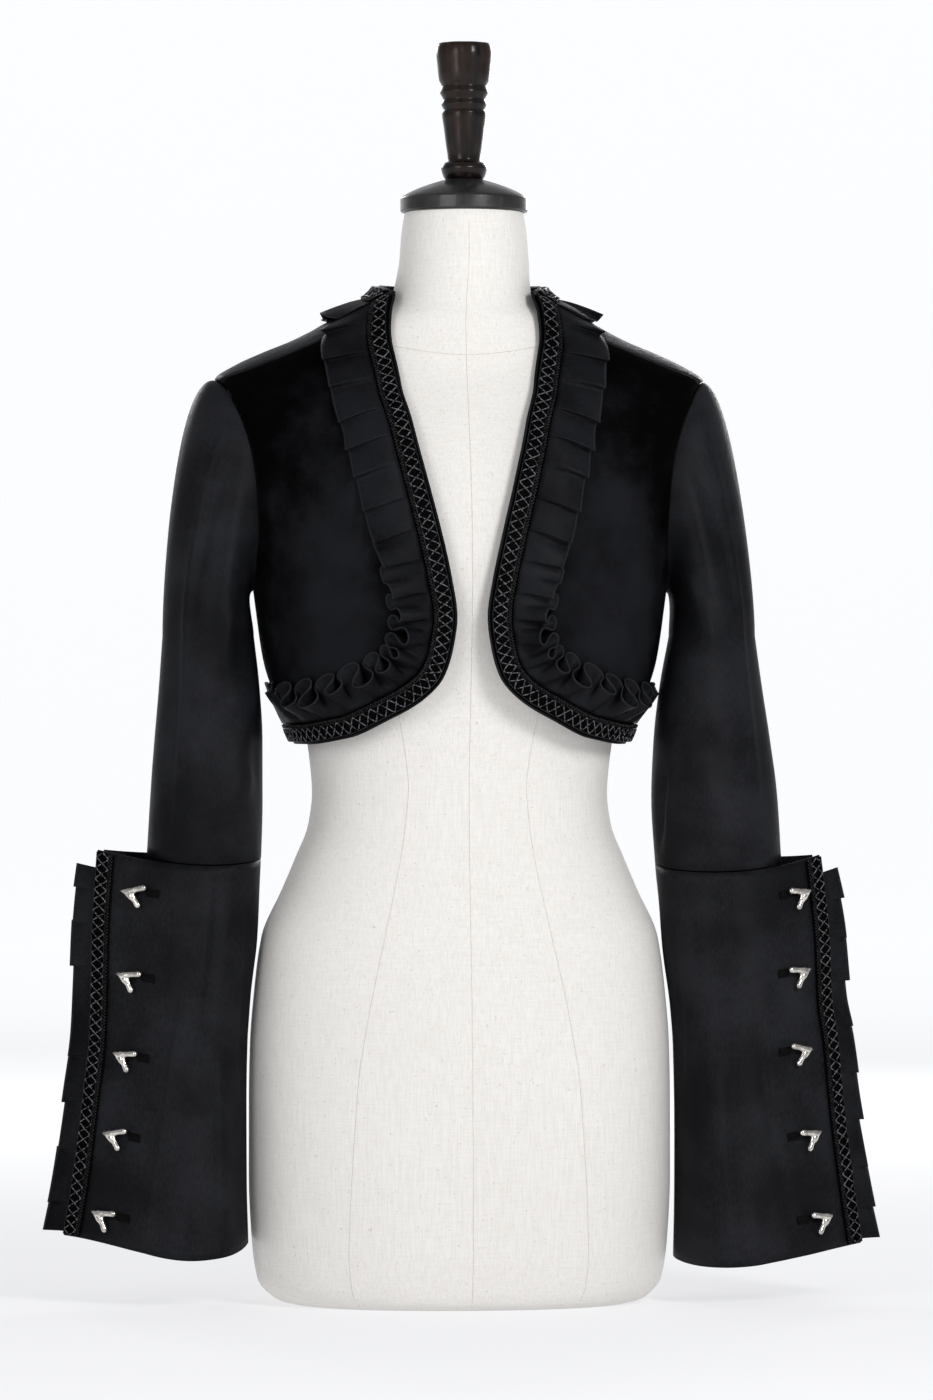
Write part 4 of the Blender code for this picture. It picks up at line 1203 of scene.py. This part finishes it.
def fine_ruffle(edge, start, end, over_ridge, lean, calm):
    """A doubled strip in knife pleats whose folds lean one way along the edge.

    Low down its pleats stand open, and at the ends that calm marks they lie flat.
    """
    at, share, curl, sway, pitch = pleated_line(start, end, PLEAT_PITCH, 20)
    if lean < 0:
        at = (start + end - at)[::-1]
        share = share[::-1]
        curl = curl[::-1]
        sway = -sway[::-1]
    place = edge.read(edge.root, at)
    # Under the arms, near the side seams, the pleats are pressed flat again.
    off_side = (np.degrees(place[:, 0]) + 90) % 180
    off_side = np.minimum(off_side, 180 - off_side)
    near = np.exp(-((off_side / 18) ** 2)) * (place[:, 1] < 560)
    opened = np.clip((635 - place[:, 1]) / 100, 0, 1) * (1 - near)
    part = np.clip((720 - place[:, 1]) / 130, 0, 1) * (1 - near)
    full = RUFFLE_LIFT * (1 - 0.78 * near) + 10.0 * opened + 1.5 * part
    settle = np.ones(len(at))
    if calm[0]:
        settle = settle * np.clip((at - start) / 30, 0.08, 1)
    if calm[1]:
        settle = settle * np.clip((end - at) / 30, 0.08, 1)
    share = (share + (curl - share) * opened) * settle
    flat = LIE_GAP + RUFFLE_WALL + 0.3 + 0.6 * over_ridge
    rows = []
    for q in np.linspace(0, 1, 11):
        pressed = (0.10 + 0.22 * q) * share * lean * (1 - opened * q)
        swung = (sway + 0.16 * lean * curl) * opened * q
        shift = pitch * (pressed + swung)
        shift = shift * np.clip(np.minimum(at - start, end - at) / pitch + 0.15, 0, 1)
        wobble = 0.7 * np.sin(at / 61.0 + 1.3 * np.sin(at / 23.0)) * q
        lift = flat + share * (RUFFLE_ROOT_LIFT + (full - RUFFLE_ROOT_LIFT) * q**0.85)
        lift = lift + 0.5 * np.sin(math.pi * q) + np.abs(wobble)
        drawn_in = (21.0 * opened + 1.6 * part) * share * q**1.4
        reach = RUFFLE_WIDE * q + 0.4 * over_ridge + 0.9 * share * q**2 - drawn_in
        if all(calm):
            reach = reach * (0.72 + 0.28 * settle)
        rows.append(edge.ruffle_row(at + shift, reach, lift))
    return np.stack(rows)


def braid_threads(row, length, lift):
    """The raised work on a braid: crossing zigzags, two edge cords and a row of small loops.

    Row gives places at distances along the braid, distances in and lifts.
    """
    count = round(length / ZIGZAG_PITCH)
    wave = np.linspace(0, length, count * 20 + 1)
    phase = wave / length * count * 2 * math.pi
    saw = np.arcsin(np.sin(phase) * 0.97) / 1.33
    zig = row(wave, BRAID_IN + 6.6 + 5.2 * saw, lift + 0.72 + 0.22 * np.cos(phase))
    zag = row(wave, BRAID_IN + 6.6 - 5.2 * saw, lift + 0.72 - 0.22 * np.cos(phase))
    edges = [row(wave[::3], BRAID_IN + off, lift + 0.35 + 0 * wave[::3]) for off in (0.8, 12.0)]
    loops = round(length / PICOT_PITCH)
    wave = np.linspace(0, length, loops * 6 + 1)
    phase = wave / length * loops * 2 * math.pi
    picot = row(wave, BRAID_IN + 14.0 + 1.3 * np.sin(phase), lift + 0.45 + 0 * wave)
    return [zig, zag], edges + [picot]


def turned_points(profile, base_z, steps, flutes=None):
    """Points of a profile turned round the neck's axis, its corners a little eased."""
    radius = np.array([row[0] for row in profile], float)
    height = np.array([row[1] for row in profile], float)
    length = np.concatenate([[0], np.hypot(np.diff(radius), np.diff(height)).cumsum()])
    fine = np.unique(np.concatenate([np.linspace(0, length[-1], 90), length]))
    radius = smooth_curve(length, radius, fine)
    height = smooth_curve(length, height, fine)
    turn = np.arange(steps) * 2 * math.pi / steps
    shaped = np.ones((len(fine), steps))
    if flutes:
        shaped = flutes(radius[:, None], height[:, None], turn[None])
    x = NECK_X + radius[:, None] * shaped * np.sin(turn)
    y = -radius[:, None] * shaped * np.cos(turn)
    z = base_z + height[:, None] + 0 * x
    return np.stack([x, y, z], axis=-1)


def closed_ends(obj):
    """Makes each pole of a turned piece one point and its faces look outwards."""
    made_active(obj)
    bpy.ops.object.mode_set(mode="EDIT")
    bpy.ops.mesh.select_all(action="SELECT")
    bpy.ops.mesh.remove_doubles(threshold=0.00002)
    bpy.ops.mesh.normals_make_consistent(inside=False)
    bpy.ops.object.mode_set(mode="OBJECT")
    bpy.ops.object.shade_smooth_by_angle(angle=math.radians(40))
    return obj


def form_point(turn, z):
    point = around(FORM, turn, z)
    point[..., 0] += NECK_X * np.interp(z, (790, 838), (0, 1))
    return point


def form_pieces(linen, seam_thread, cap, wood):
    heights = np.concatenate(
        [[BASE_Z, 9.2, 10.2, 12, 14, 17, 21, 26], np.linspace(32, NECK_TOP_Z, 190)]
    )
    turn = np.arange(120) * 2 * math.pi / 120
    points = form_point(turn[None] + 0 * heights[:, None], heights[:, None] + 0 * turn[None])
    foot = points[:1] * [0, 0, 1]
    crown = points[-1:] * [0, 0, 1] + [NECK_X, 0, 0]
    points = np.concatenate([foot, points, crown])
    obj = closed_ends(shaped_grid(points, wraps=True, outward=away_from()))
    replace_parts(finished(obj, "dress_form", linen), "form_torso")

    lines = []
    z = np.linspace(12, 868, 180)
    lines.append(form_point(np.interp(z, (0, 500, 900), (0.02, 0.01, 0.0)), z))
    lines.append(form_point(math.pi + 0 * z, z))
    z = np.linspace(12, 752, 160)
    for sign in (-1, 1):
        front = np.interp(z, (0, 200, 420, 620, 760), (0.80, 0.72, 0.52, 0.60, 0.95))
        back = np.interp(z, (0, 200, 420, 620, 760), (2.42, 2.48, 2.66, 2.55, 2.35))
        lines.append(form_point(sign * front, z))
        lines.append(form_point(sign * back, z))
        lines.append(form_point(sign * math.pi / 2 + 0 * z, z))
    turn = np.linspace(-math.pi, math.pi, 180)
    collar = 785.5 - 23.5 * np.cos(turn)
    lines.append(form_point(turn, collar))
    finished(tube(lines, 0.3), "form_seams", seam_thread)

    points = turned_points(CAP, NECK_TOP_Z, 96)
    obj = closed_ends(shaped_grid(points, wraps=True))
    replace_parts(finished(obj, "neck_cap", cap), "form_cap")

    def flutes(radius, height, turn):
        body = np.clip((height - 14) / 6, 0, 1) * np.clip((radius - 6) / 8, 0, 1)
        crown = np.clip((height - 78) / 18, 0, 1)
        wave = np.cos(8 * turn + 0.4)
        return 1 - body * (0.018 + 0.022 * crown) * (0.5 + 0.5 * wave) ** 2

    points = turned_points(FINIAL, CAP_TOP_Z, 128, flutes)
    obj = closed_ends(shaped_grid(points, wraps=True))
    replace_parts(finished(obj, "turned_finial", wood), "form_finial")


def rounded_arm(marks):
    """A line of places and radii drawn smooth through its marks, with half-round ends."""
    gone = np.linalg.norm(np.diff(marks[:, :3], axis=0), axis=1).cumsum()
    gone = np.concatenate([[0], gone])
    at = np.linspace(0, gone[-1], 16)
    path = np.stack([smooth_curve(gone, marks[:, k], at) for k in range(4)], axis=1)
    ends = []
    for tip, before in ((path[0], path[1]), (path[-1], path[-2])):
        way = unit((tip - before)[:3])
        angle = np.radians((25, 48, 68, 84))
        place = tip[:3] + way * tip[3] * np.sin(angle)[:, None]
        ends.append(np.concatenate([place, tip[3] * np.cos(angle)[:, None]], axis=1))
    return np.concatenate([ends[0][::-1], path, ends[1]])


# A toggle's arms: mm towards the braid, mm down, mm off the cloth, and radius.
TOGGLE_ARMS = [
    [
        (10.4, -0.6, 3.6, 1.3),
        (6.8, -0.5, 4.8, 2.4),
        (2.4, -0.2, 5.4, 3.7),
        (-4.0, -2.6, 5.6, 2.5),
        (-10.4, -4.2, 5.3, 2.8),
    ],
    [(4.0, 0.2, 5.2, 3.0), (0.0, 2.8, 5.4, 3.5), (-3.2, 6.0, 5.2, 2.5), (-6.0, 9.6, 5.0, 2.7)],
    [(3.0, -0.8, 5.0, 2.0), (4.0, -0.8, 3.0, 1.5), (4.6, -0.8, 1.2, 1.9)],
]


def toggle_piece(side, x, z, tilt):
    """A plain polished toggle: a shank on a foot that opens into a long and a short prong."""
    sign = -1 if side == "left" else 1
    shares = np.linspace(0.80, 0.985, 60)
    top = SEAM_LEVEL[side][0]
    down = np.clip((top - z) / (top - HEM_LEVEL[side][0]), 0, 1)
    line = cuff_point(side, shares, down + 0 * shares)
    share = float(np.interp(x, sign * line[:, 0], shares))
    place, along, normal = cuff_frame(side, share, down)
    below = unit(np.cross(along, normal))
    below = below * (-1 if below[2] > 0 else 1)
    along, below = (
        along * math.cos(tilt) + below * math.sin(tilt),
        below * math.cos(tilt) - along * math.sin(tilt),
    )
    arms = []
    for marks in TOGGLE_ARMS:
        marks = np.array(marks)
        world = place + marks[:, :1] * along + marks[:, 1:2] * below + marks[:, 2:3] * normal
        arms.append(rounded_arm(np.concatenate([world, marks[:, 3:]], axis=1)))
    obj = tube(arms, 1.0, sides=3)
    cast = obj.modifiers.new("Cast", "REMESH")
    cast.mode = "VOXEL"
    cast.voxel_size = 0.42 * MM
    cast.use_smooth_shade = True
    eased = obj.modifiers.new("Eased", "SMOOTH")
    eased.factor = 0.5
    eased.iterations = 5
    apply_all(obj)
    return obj, (side, share - 11.5 / 330, float(down) - 0.006)


def welt(side, share, down):
    """A corded buttonhole edge that lies on the cuff: a small rounded strip."""
    shares = np.linspace(share - 0.0115, share + 0.0115, 14)
    downs = down + np.linspace(-0.011, 0.011, 7)
    points = cuff_point(side, shares[None, :], downs[:, None])
    _, _, normal = cuff_frame(side, shares, down)
    rise = 0.35 + 0.9 * np.sin(np.linspace(0, math.pi, 7)) ** 0.5
    return points + normal[None] * rise[:, None, None]


class Cloths:
    """The finishes that the jacket's pieces share."""

    def __init__(self):
        self.velvet = velvet_finish()
        self.satin = satin_finish(
            "jacket_satin", (0.0038, 0.0040, 0.0051), (0.0138, 0.0143, 0.0172), 0.06
        ).material
        self.ruffle = ruffle_finish(RUFFLE_WIDE)
        self.slim_ruffle = ruffle_finish(CUFF_RUFFLE_WIDE)
        self.tape = braid_finish()
        # Two thread finishes, alike but for how bright their painted glints are.
        self.thread = thread_finish("thread_bright_painted_glints", 0.135)
        self.thread_faint_painted_glints = thread_finish("thread_faint_painted_glints", 0.015)
        self.silver = silver_finish()
        # The buttonhole finish: a dark cord with painted shade of the slit.
        self.cord_and_shade = welt_finish()


def front_and_back_pieces(cloths):
    bodies = {}
    grid = front_grid(5 * FINE, 34)
    for side, sign in SIDES:
        points = body_cloth(sign * grid[..., 0], grid[..., 1])
        obj = walled(shaped_grid(points, outward=away_from()), CLOTH_SHELL)
        bodies[side] = finished(obj, f"velvet_front_{side}", cloths.velvet)
        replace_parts(obj, f"front_{side}")
    grid = back_grid(4 * FINE, 40)
    points = body_cloth(grid[..., 0], grid[..., 1])
    obj = walled(shaped_grid(points, outward=away_from()), CLOTH_SHELL)
    bodies["back"] = finished(obj, "satin_back", cloths.satin)
    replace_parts(bodies["back"], "back")
    return bodies


def braid_pieces(cloths, place, row, threads_row, at, length, lift, outward):
    """A braid's tape with the threads on it. Both rows give places at distances along it."""
    rows = [row(at, BRAID_IN + off, lift + rise) for off, rise in BRAID_PROFILE]
    obj = walled(shaped_grid(np.stack(rows), outward=outward), TAPE_SHELL)
    strip = finished(obj, f"braid_tape_{place}", cloths.tape)
    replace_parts(strip, f"braid_{place}")
    shiny, grainy = braid_threads(threads_row, length, lift)
    obj = tube(shiny, ZIGZAG_THREAD)
    work = finished(obj, f"braid_zigzag_{place}", cloths.thread)
    obj = tube(grainy, PICOT_THREAD)
    beads = finished(obj, f"braid_picot_{place}", cloths.thread_faint_painted_glints)
    return strip, [work, beads]


def edge_pieces(cloths):
    """Braid, piping and pleated strip along each part of the finished edge."""
    edge = Edge()
    spans = {
        "front_right": (edge.neck_end + NECK_JOINT, edge.side - SIDE_JOINT, 1, (True, False)),
        "front_left": (
            edge.length - edge.side + SIDE_JOINT,
            edge.length - edge.neck_end - NECK_JOINT,
            -1,
            (False, True),
        ),
        "back_neck": (-edge.neck_end + NECK_JOINT, edge.neck_end - NECK_JOINT, 1, (True, True)),
        "back_hem": (
            edge.side + SIDE_JOINT,
            edge.length - edge.side - SIDE_JOINT,
            1,
            (False, False),
        ),
    }
    for place, (start, end, lean, calm) in spans.items():
        over_ridge = 1.4 if place == "back_neck" else 0.2
        lift = LIE_GAP + BRAID_THICK + over_ridge

        def threads_row(gone, reach, rise, first=start + 0.8):
            return edge.braid_row(first + gone, reach, rise)

        at = np.linspace(start + 0.2, end - 0.2, round((end - start) / 4))
        strip, threads = braid_pieces(
            cloths, place, edge.braid_row, threads_row, at, end - start - 1.6, lift, away_from()
        )
        piping_at = np.linspace(start + 0.4, end - 0.4, round((end - start) / 5))
        path = edge.braid_row(piping_at, 0.9, -0.75)
        obj = tube([path], PIPING_RADIUS, sides=2)
        piping = finished(obj, f"piping_{place}", cloths.satin)
        round((end - start) * MM, 3)
        threads + [piping]
        points = fine_ruffle(edge, start + 1.8, end - 1.8, over_ridge, lean, calm)
        obj = shaped_grid(points, outward=away_from(), deep=RUFFLE_WIDE)
        obj = walled(obj, RUFFLE_SHELL)
        pleats = finished(obj, f"pleated_{place}", cloths.ruffle)
        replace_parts(pleats, f"ruffle_{place}")
        round((end - start) * PLEAT_TAKE * MM, 3)


def cuff_ruffle_points(side):
    """The short pleated strip that stands out from a cuff's top edge."""
    at, rise, pitch = flat_panels(CUFF_PANELS[side], 16)
    panel = np.searchsorted(CUFF_PANELS[side], at, side="right")
    bulge = 1.3 * np.sin(2.4 * panel + 0.7) + 1.5 * (panel > 8)
    rows = []
    for q in np.linspace(0, 1, 8):
        down = np.clip(at + pitch * (0.10 + 0.09 * q) * rise, 0, 1)
        place, along, normal = cuff_frame(side, 1.0, down)
        reach = -3.0 + q * (CUFF_RUFFLE_WIDE + 3.6 + bulge + 1.5 * (rise - 0.5))
        wave = (rise - 0.5) * 2 * CUFF_RUFFLE_LIFT * (0.03 + 0.97 * q**1.5)
        row_at = place + along * reach[:, None] + normal * 1.15 * (1 - q) ** 2
        rows.append(row_at - wave[:, None] * np.array([0, 1, 0]))
    return np.stack(rows)


def toggle_pieces(cloths, side, sign):
    """The toggles of one cuff. Returns the buttonhole edges behind them."""
    welts = []
    for number, (x, z) in enumerate(TOGGLES[side], 1):
        tilt = math.radians(5.0) * math.sin(2.3 * number + sign)
        obj, spot = toggle_piece(side, x, z, tilt)
        finished(obj, f"silver_toggle_{side}_{number}", cloths.silver)
        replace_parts(obj, f"toggle_{side}_{number}")
        hole = shaped_grid(welt(*spot), outward=to_front)
        welts.append(finished(hole, f"buttonhole_{side}_{number}", cloths.cord_and_shade))
    return welts


def arm_pieces(cloths, side, sign):
    """One sleeve and its cuff, with the cuff's braid, ruffle and toggles."""
    rings = sleeve_grid(side, 6 * FINE + 1, 5 * FINE)
    obj = walled(shaped_grid(rings, wraps=True, outward=away_from(sign * SLEEVE_AXIS)), CLOTH_SHELL)
    sleeve = finished(obj, f"satin_sleeve_{side}", cloths.satin)
    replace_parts(sleeve, f"sleeve_{side}")
    share = np.linspace(0, 1, 161)
    down = np.linspace(0, 1, 49)
    points = cuff_point(side, share[None, :], down[:, None])
    obj = walled(shaped_grid(points, outward=away_from(sign * CUFF_AXIS[0], CUFF_AXIS[1])), CUFF_SHELL)
    cuff = finished(obj, f"satin_cuff_{side}", cloths.satin)
    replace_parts(cuff, f"cuff_{side}")

    edge_line = cuff_point(side, 1.0 + 0 * down, down)
    length = float(np.linalg.norm(np.diff(edge_line, axis=0), axis=1).sum())

    def row(gone, reach, rise):
        gone = np.asarray(gone, float)
        place, along, normal = cuff_frame(side, 1.0, 0.004 + 0.992 * gone / length)
        reach = np.broadcast_to(np.asarray(reach, float) - BRAID_IN + 0.4, gone.shape)
        rise = np.broadcast_to(np.asarray(rise, float), gone.shape)
        return place - along * reach[:, None] + normal * rise[:, None]

    at = np.linspace(0, length, 80)
    lift = LIE_GAP + BRAID_THICK
    strip, threads = braid_pieces(cloths, f"cuff_{side}", row, row, at, length, lift, to_front)
    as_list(threads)
    obj = shaped_grid(cuff_ruffle_points(side), outward=to_front, deep=CUFF_RUFFLE_WIDE)
    obj = walled(obj, RUFFLE_SHELL)
    pleats = finished(obj, f"pleated_cuff_{side}", cloths.slim_ruffle)
    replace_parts(pleats, f"ruffle_cuff_{side}")

    welts = toggle_pieces(cloths, side, sign)


def jacket_pieces():
    cloths = Cloths()
    form_pieces(linen_finish(), seam_finish(), cap_finish(), wood_finish())
    bodies = front_and_back_pieces(cloths)
    edge_pieces(cloths)
    for side, sign in SIDES:
        arm_pieces(cloths, side, sign)


def floor_finish():
    """A pale paper backdrop that shines a little of its own, so it keeps an even tone."""
    finish = Finish(
        "studio_floor",
        (0.36, 0.36, 0.365),
        roughness=1.0,
        specular_ior_level=0.0,
        emission_strength=0.95,
    )
    split = finish.node("ShaderNodeSeparateXYZ", {}, {0: finish.places()})
    across = Value(finish, split.outputs[0])
    back = Value(finish, split.outputs[1])
    far = finish.ramp((across * across + back * back) ** 0.5, 0.4, 6.0)
    glow = finish.mix(far, (0.622, 0.624, 0.634), (0.825, 0.83, 0.84))
    finish.tree.links.new(glow, finish.shader.inputs["Emission Color"])
    return finish.material


def studio():
    """A pale floor that curves up into a backdrop, soft lights and the camera."""
    deselect()
    bpy.ops.mesh.primitive_grid_add(x_subdivisions=4, y_subdivisions=40)
    obj = bpy.context.object
    x = np.linspace(-14, 14, 5)
    run = np.linspace(0, 1, 41)
    y = np.where(run < 0.5, -10 + 36 * run, 8 + 4 * np.sin((run - 0.5) * math.pi))
    z = np.where(run < 0.5, 0.0, 8 * (1 - np.cos((run - 0.5) * math.pi)))
    place = np.stack([np.tile(x, 41), np.repeat(y, 5), np.repeat(z, 5) - 0.0002], axis=-1)
    obj.data.vertices.foreach_set("co", place.reshape(-1))
    obj.data.update()
    obj.data.shade_smooth()
    obj.name = "backdrop"
    obj.data.materials.append(floor_finish())

    world = bpy.data.worlds.new("studio")
    bpy.context.scene.world = world
    world.use_nodes = True
    world.node_tree.nodes["Background"].inputs[0].default_value = (0.97, 0.98, 1.0, 1)
    world.node_tree.nodes["Background"].inputs[1].default_value = 0.40

    lamps = [
        ("key_light", (1.4, -2.7, 1.75), (0.02, 0, 0.55), 1.0, 58),
        ("fill_light", (-1.7, -2.6, 1.2), (0, 0, 0.5), 1.6, 26),
        ("back_light_left", (-1.2, 3.0, 1.7), (0, 0, 0.55), 1.0, 22),
        ("back_light_right", (1.3, 2.9, 1.5), (0, 0, 0.5), 1.0, 26),
    ]
    for name, place, aim, size, power in lamps:
        light = bpy.data.lights.new(name, "AREA")
        light.shape = "DISK"
        light.size = size
        light.energy = power
        lamp = bpy.data.objects.new(name, light)
        bpy.context.scene.collection.objects.link(lamp)
        lamp.location = place
        way = Vector(aim) - Vector(place)
        lamp.rotation_euler = way.to_track_quat("-Z", "Y").to_euler()

    angle = math.radians(CAMERA_TURN)
    lens = bpy.data.cameras.new("camera")
    lens.sensor_fit = "AUTO"
    lens.sensor_width = 36.0
    lens.lens = 36.0 * CAMERA_AWAY / FRAME_HIGH
    lens.clip_start = 0.1
    lens.clip_end = 60.0
    camera = bpy.data.objects.new("camera", lens)
    bpy.context.scene.collection.objects.link(camera)
    x = -math.sin(angle) * CAMERA_AWAY + math.cos(angle) * CAMERA_ASIDE
    y = -math.cos(angle) * CAMERA_AWAY - math.sin(angle) * CAMERA_ASIDE
    camera.location = (x * MM, y * MM, (CAMERA_Z - BASE_Z) * MM)
    camera.rotation_euler = (math.pi / 2, 0, -angle)
    bpy.context.scene.camera = camera
    bpy.context.scene.view_settings.view_transform = "Standard"
    bpy.context.scene.view_settings.look = "None"


jacket_pieces()
studio()
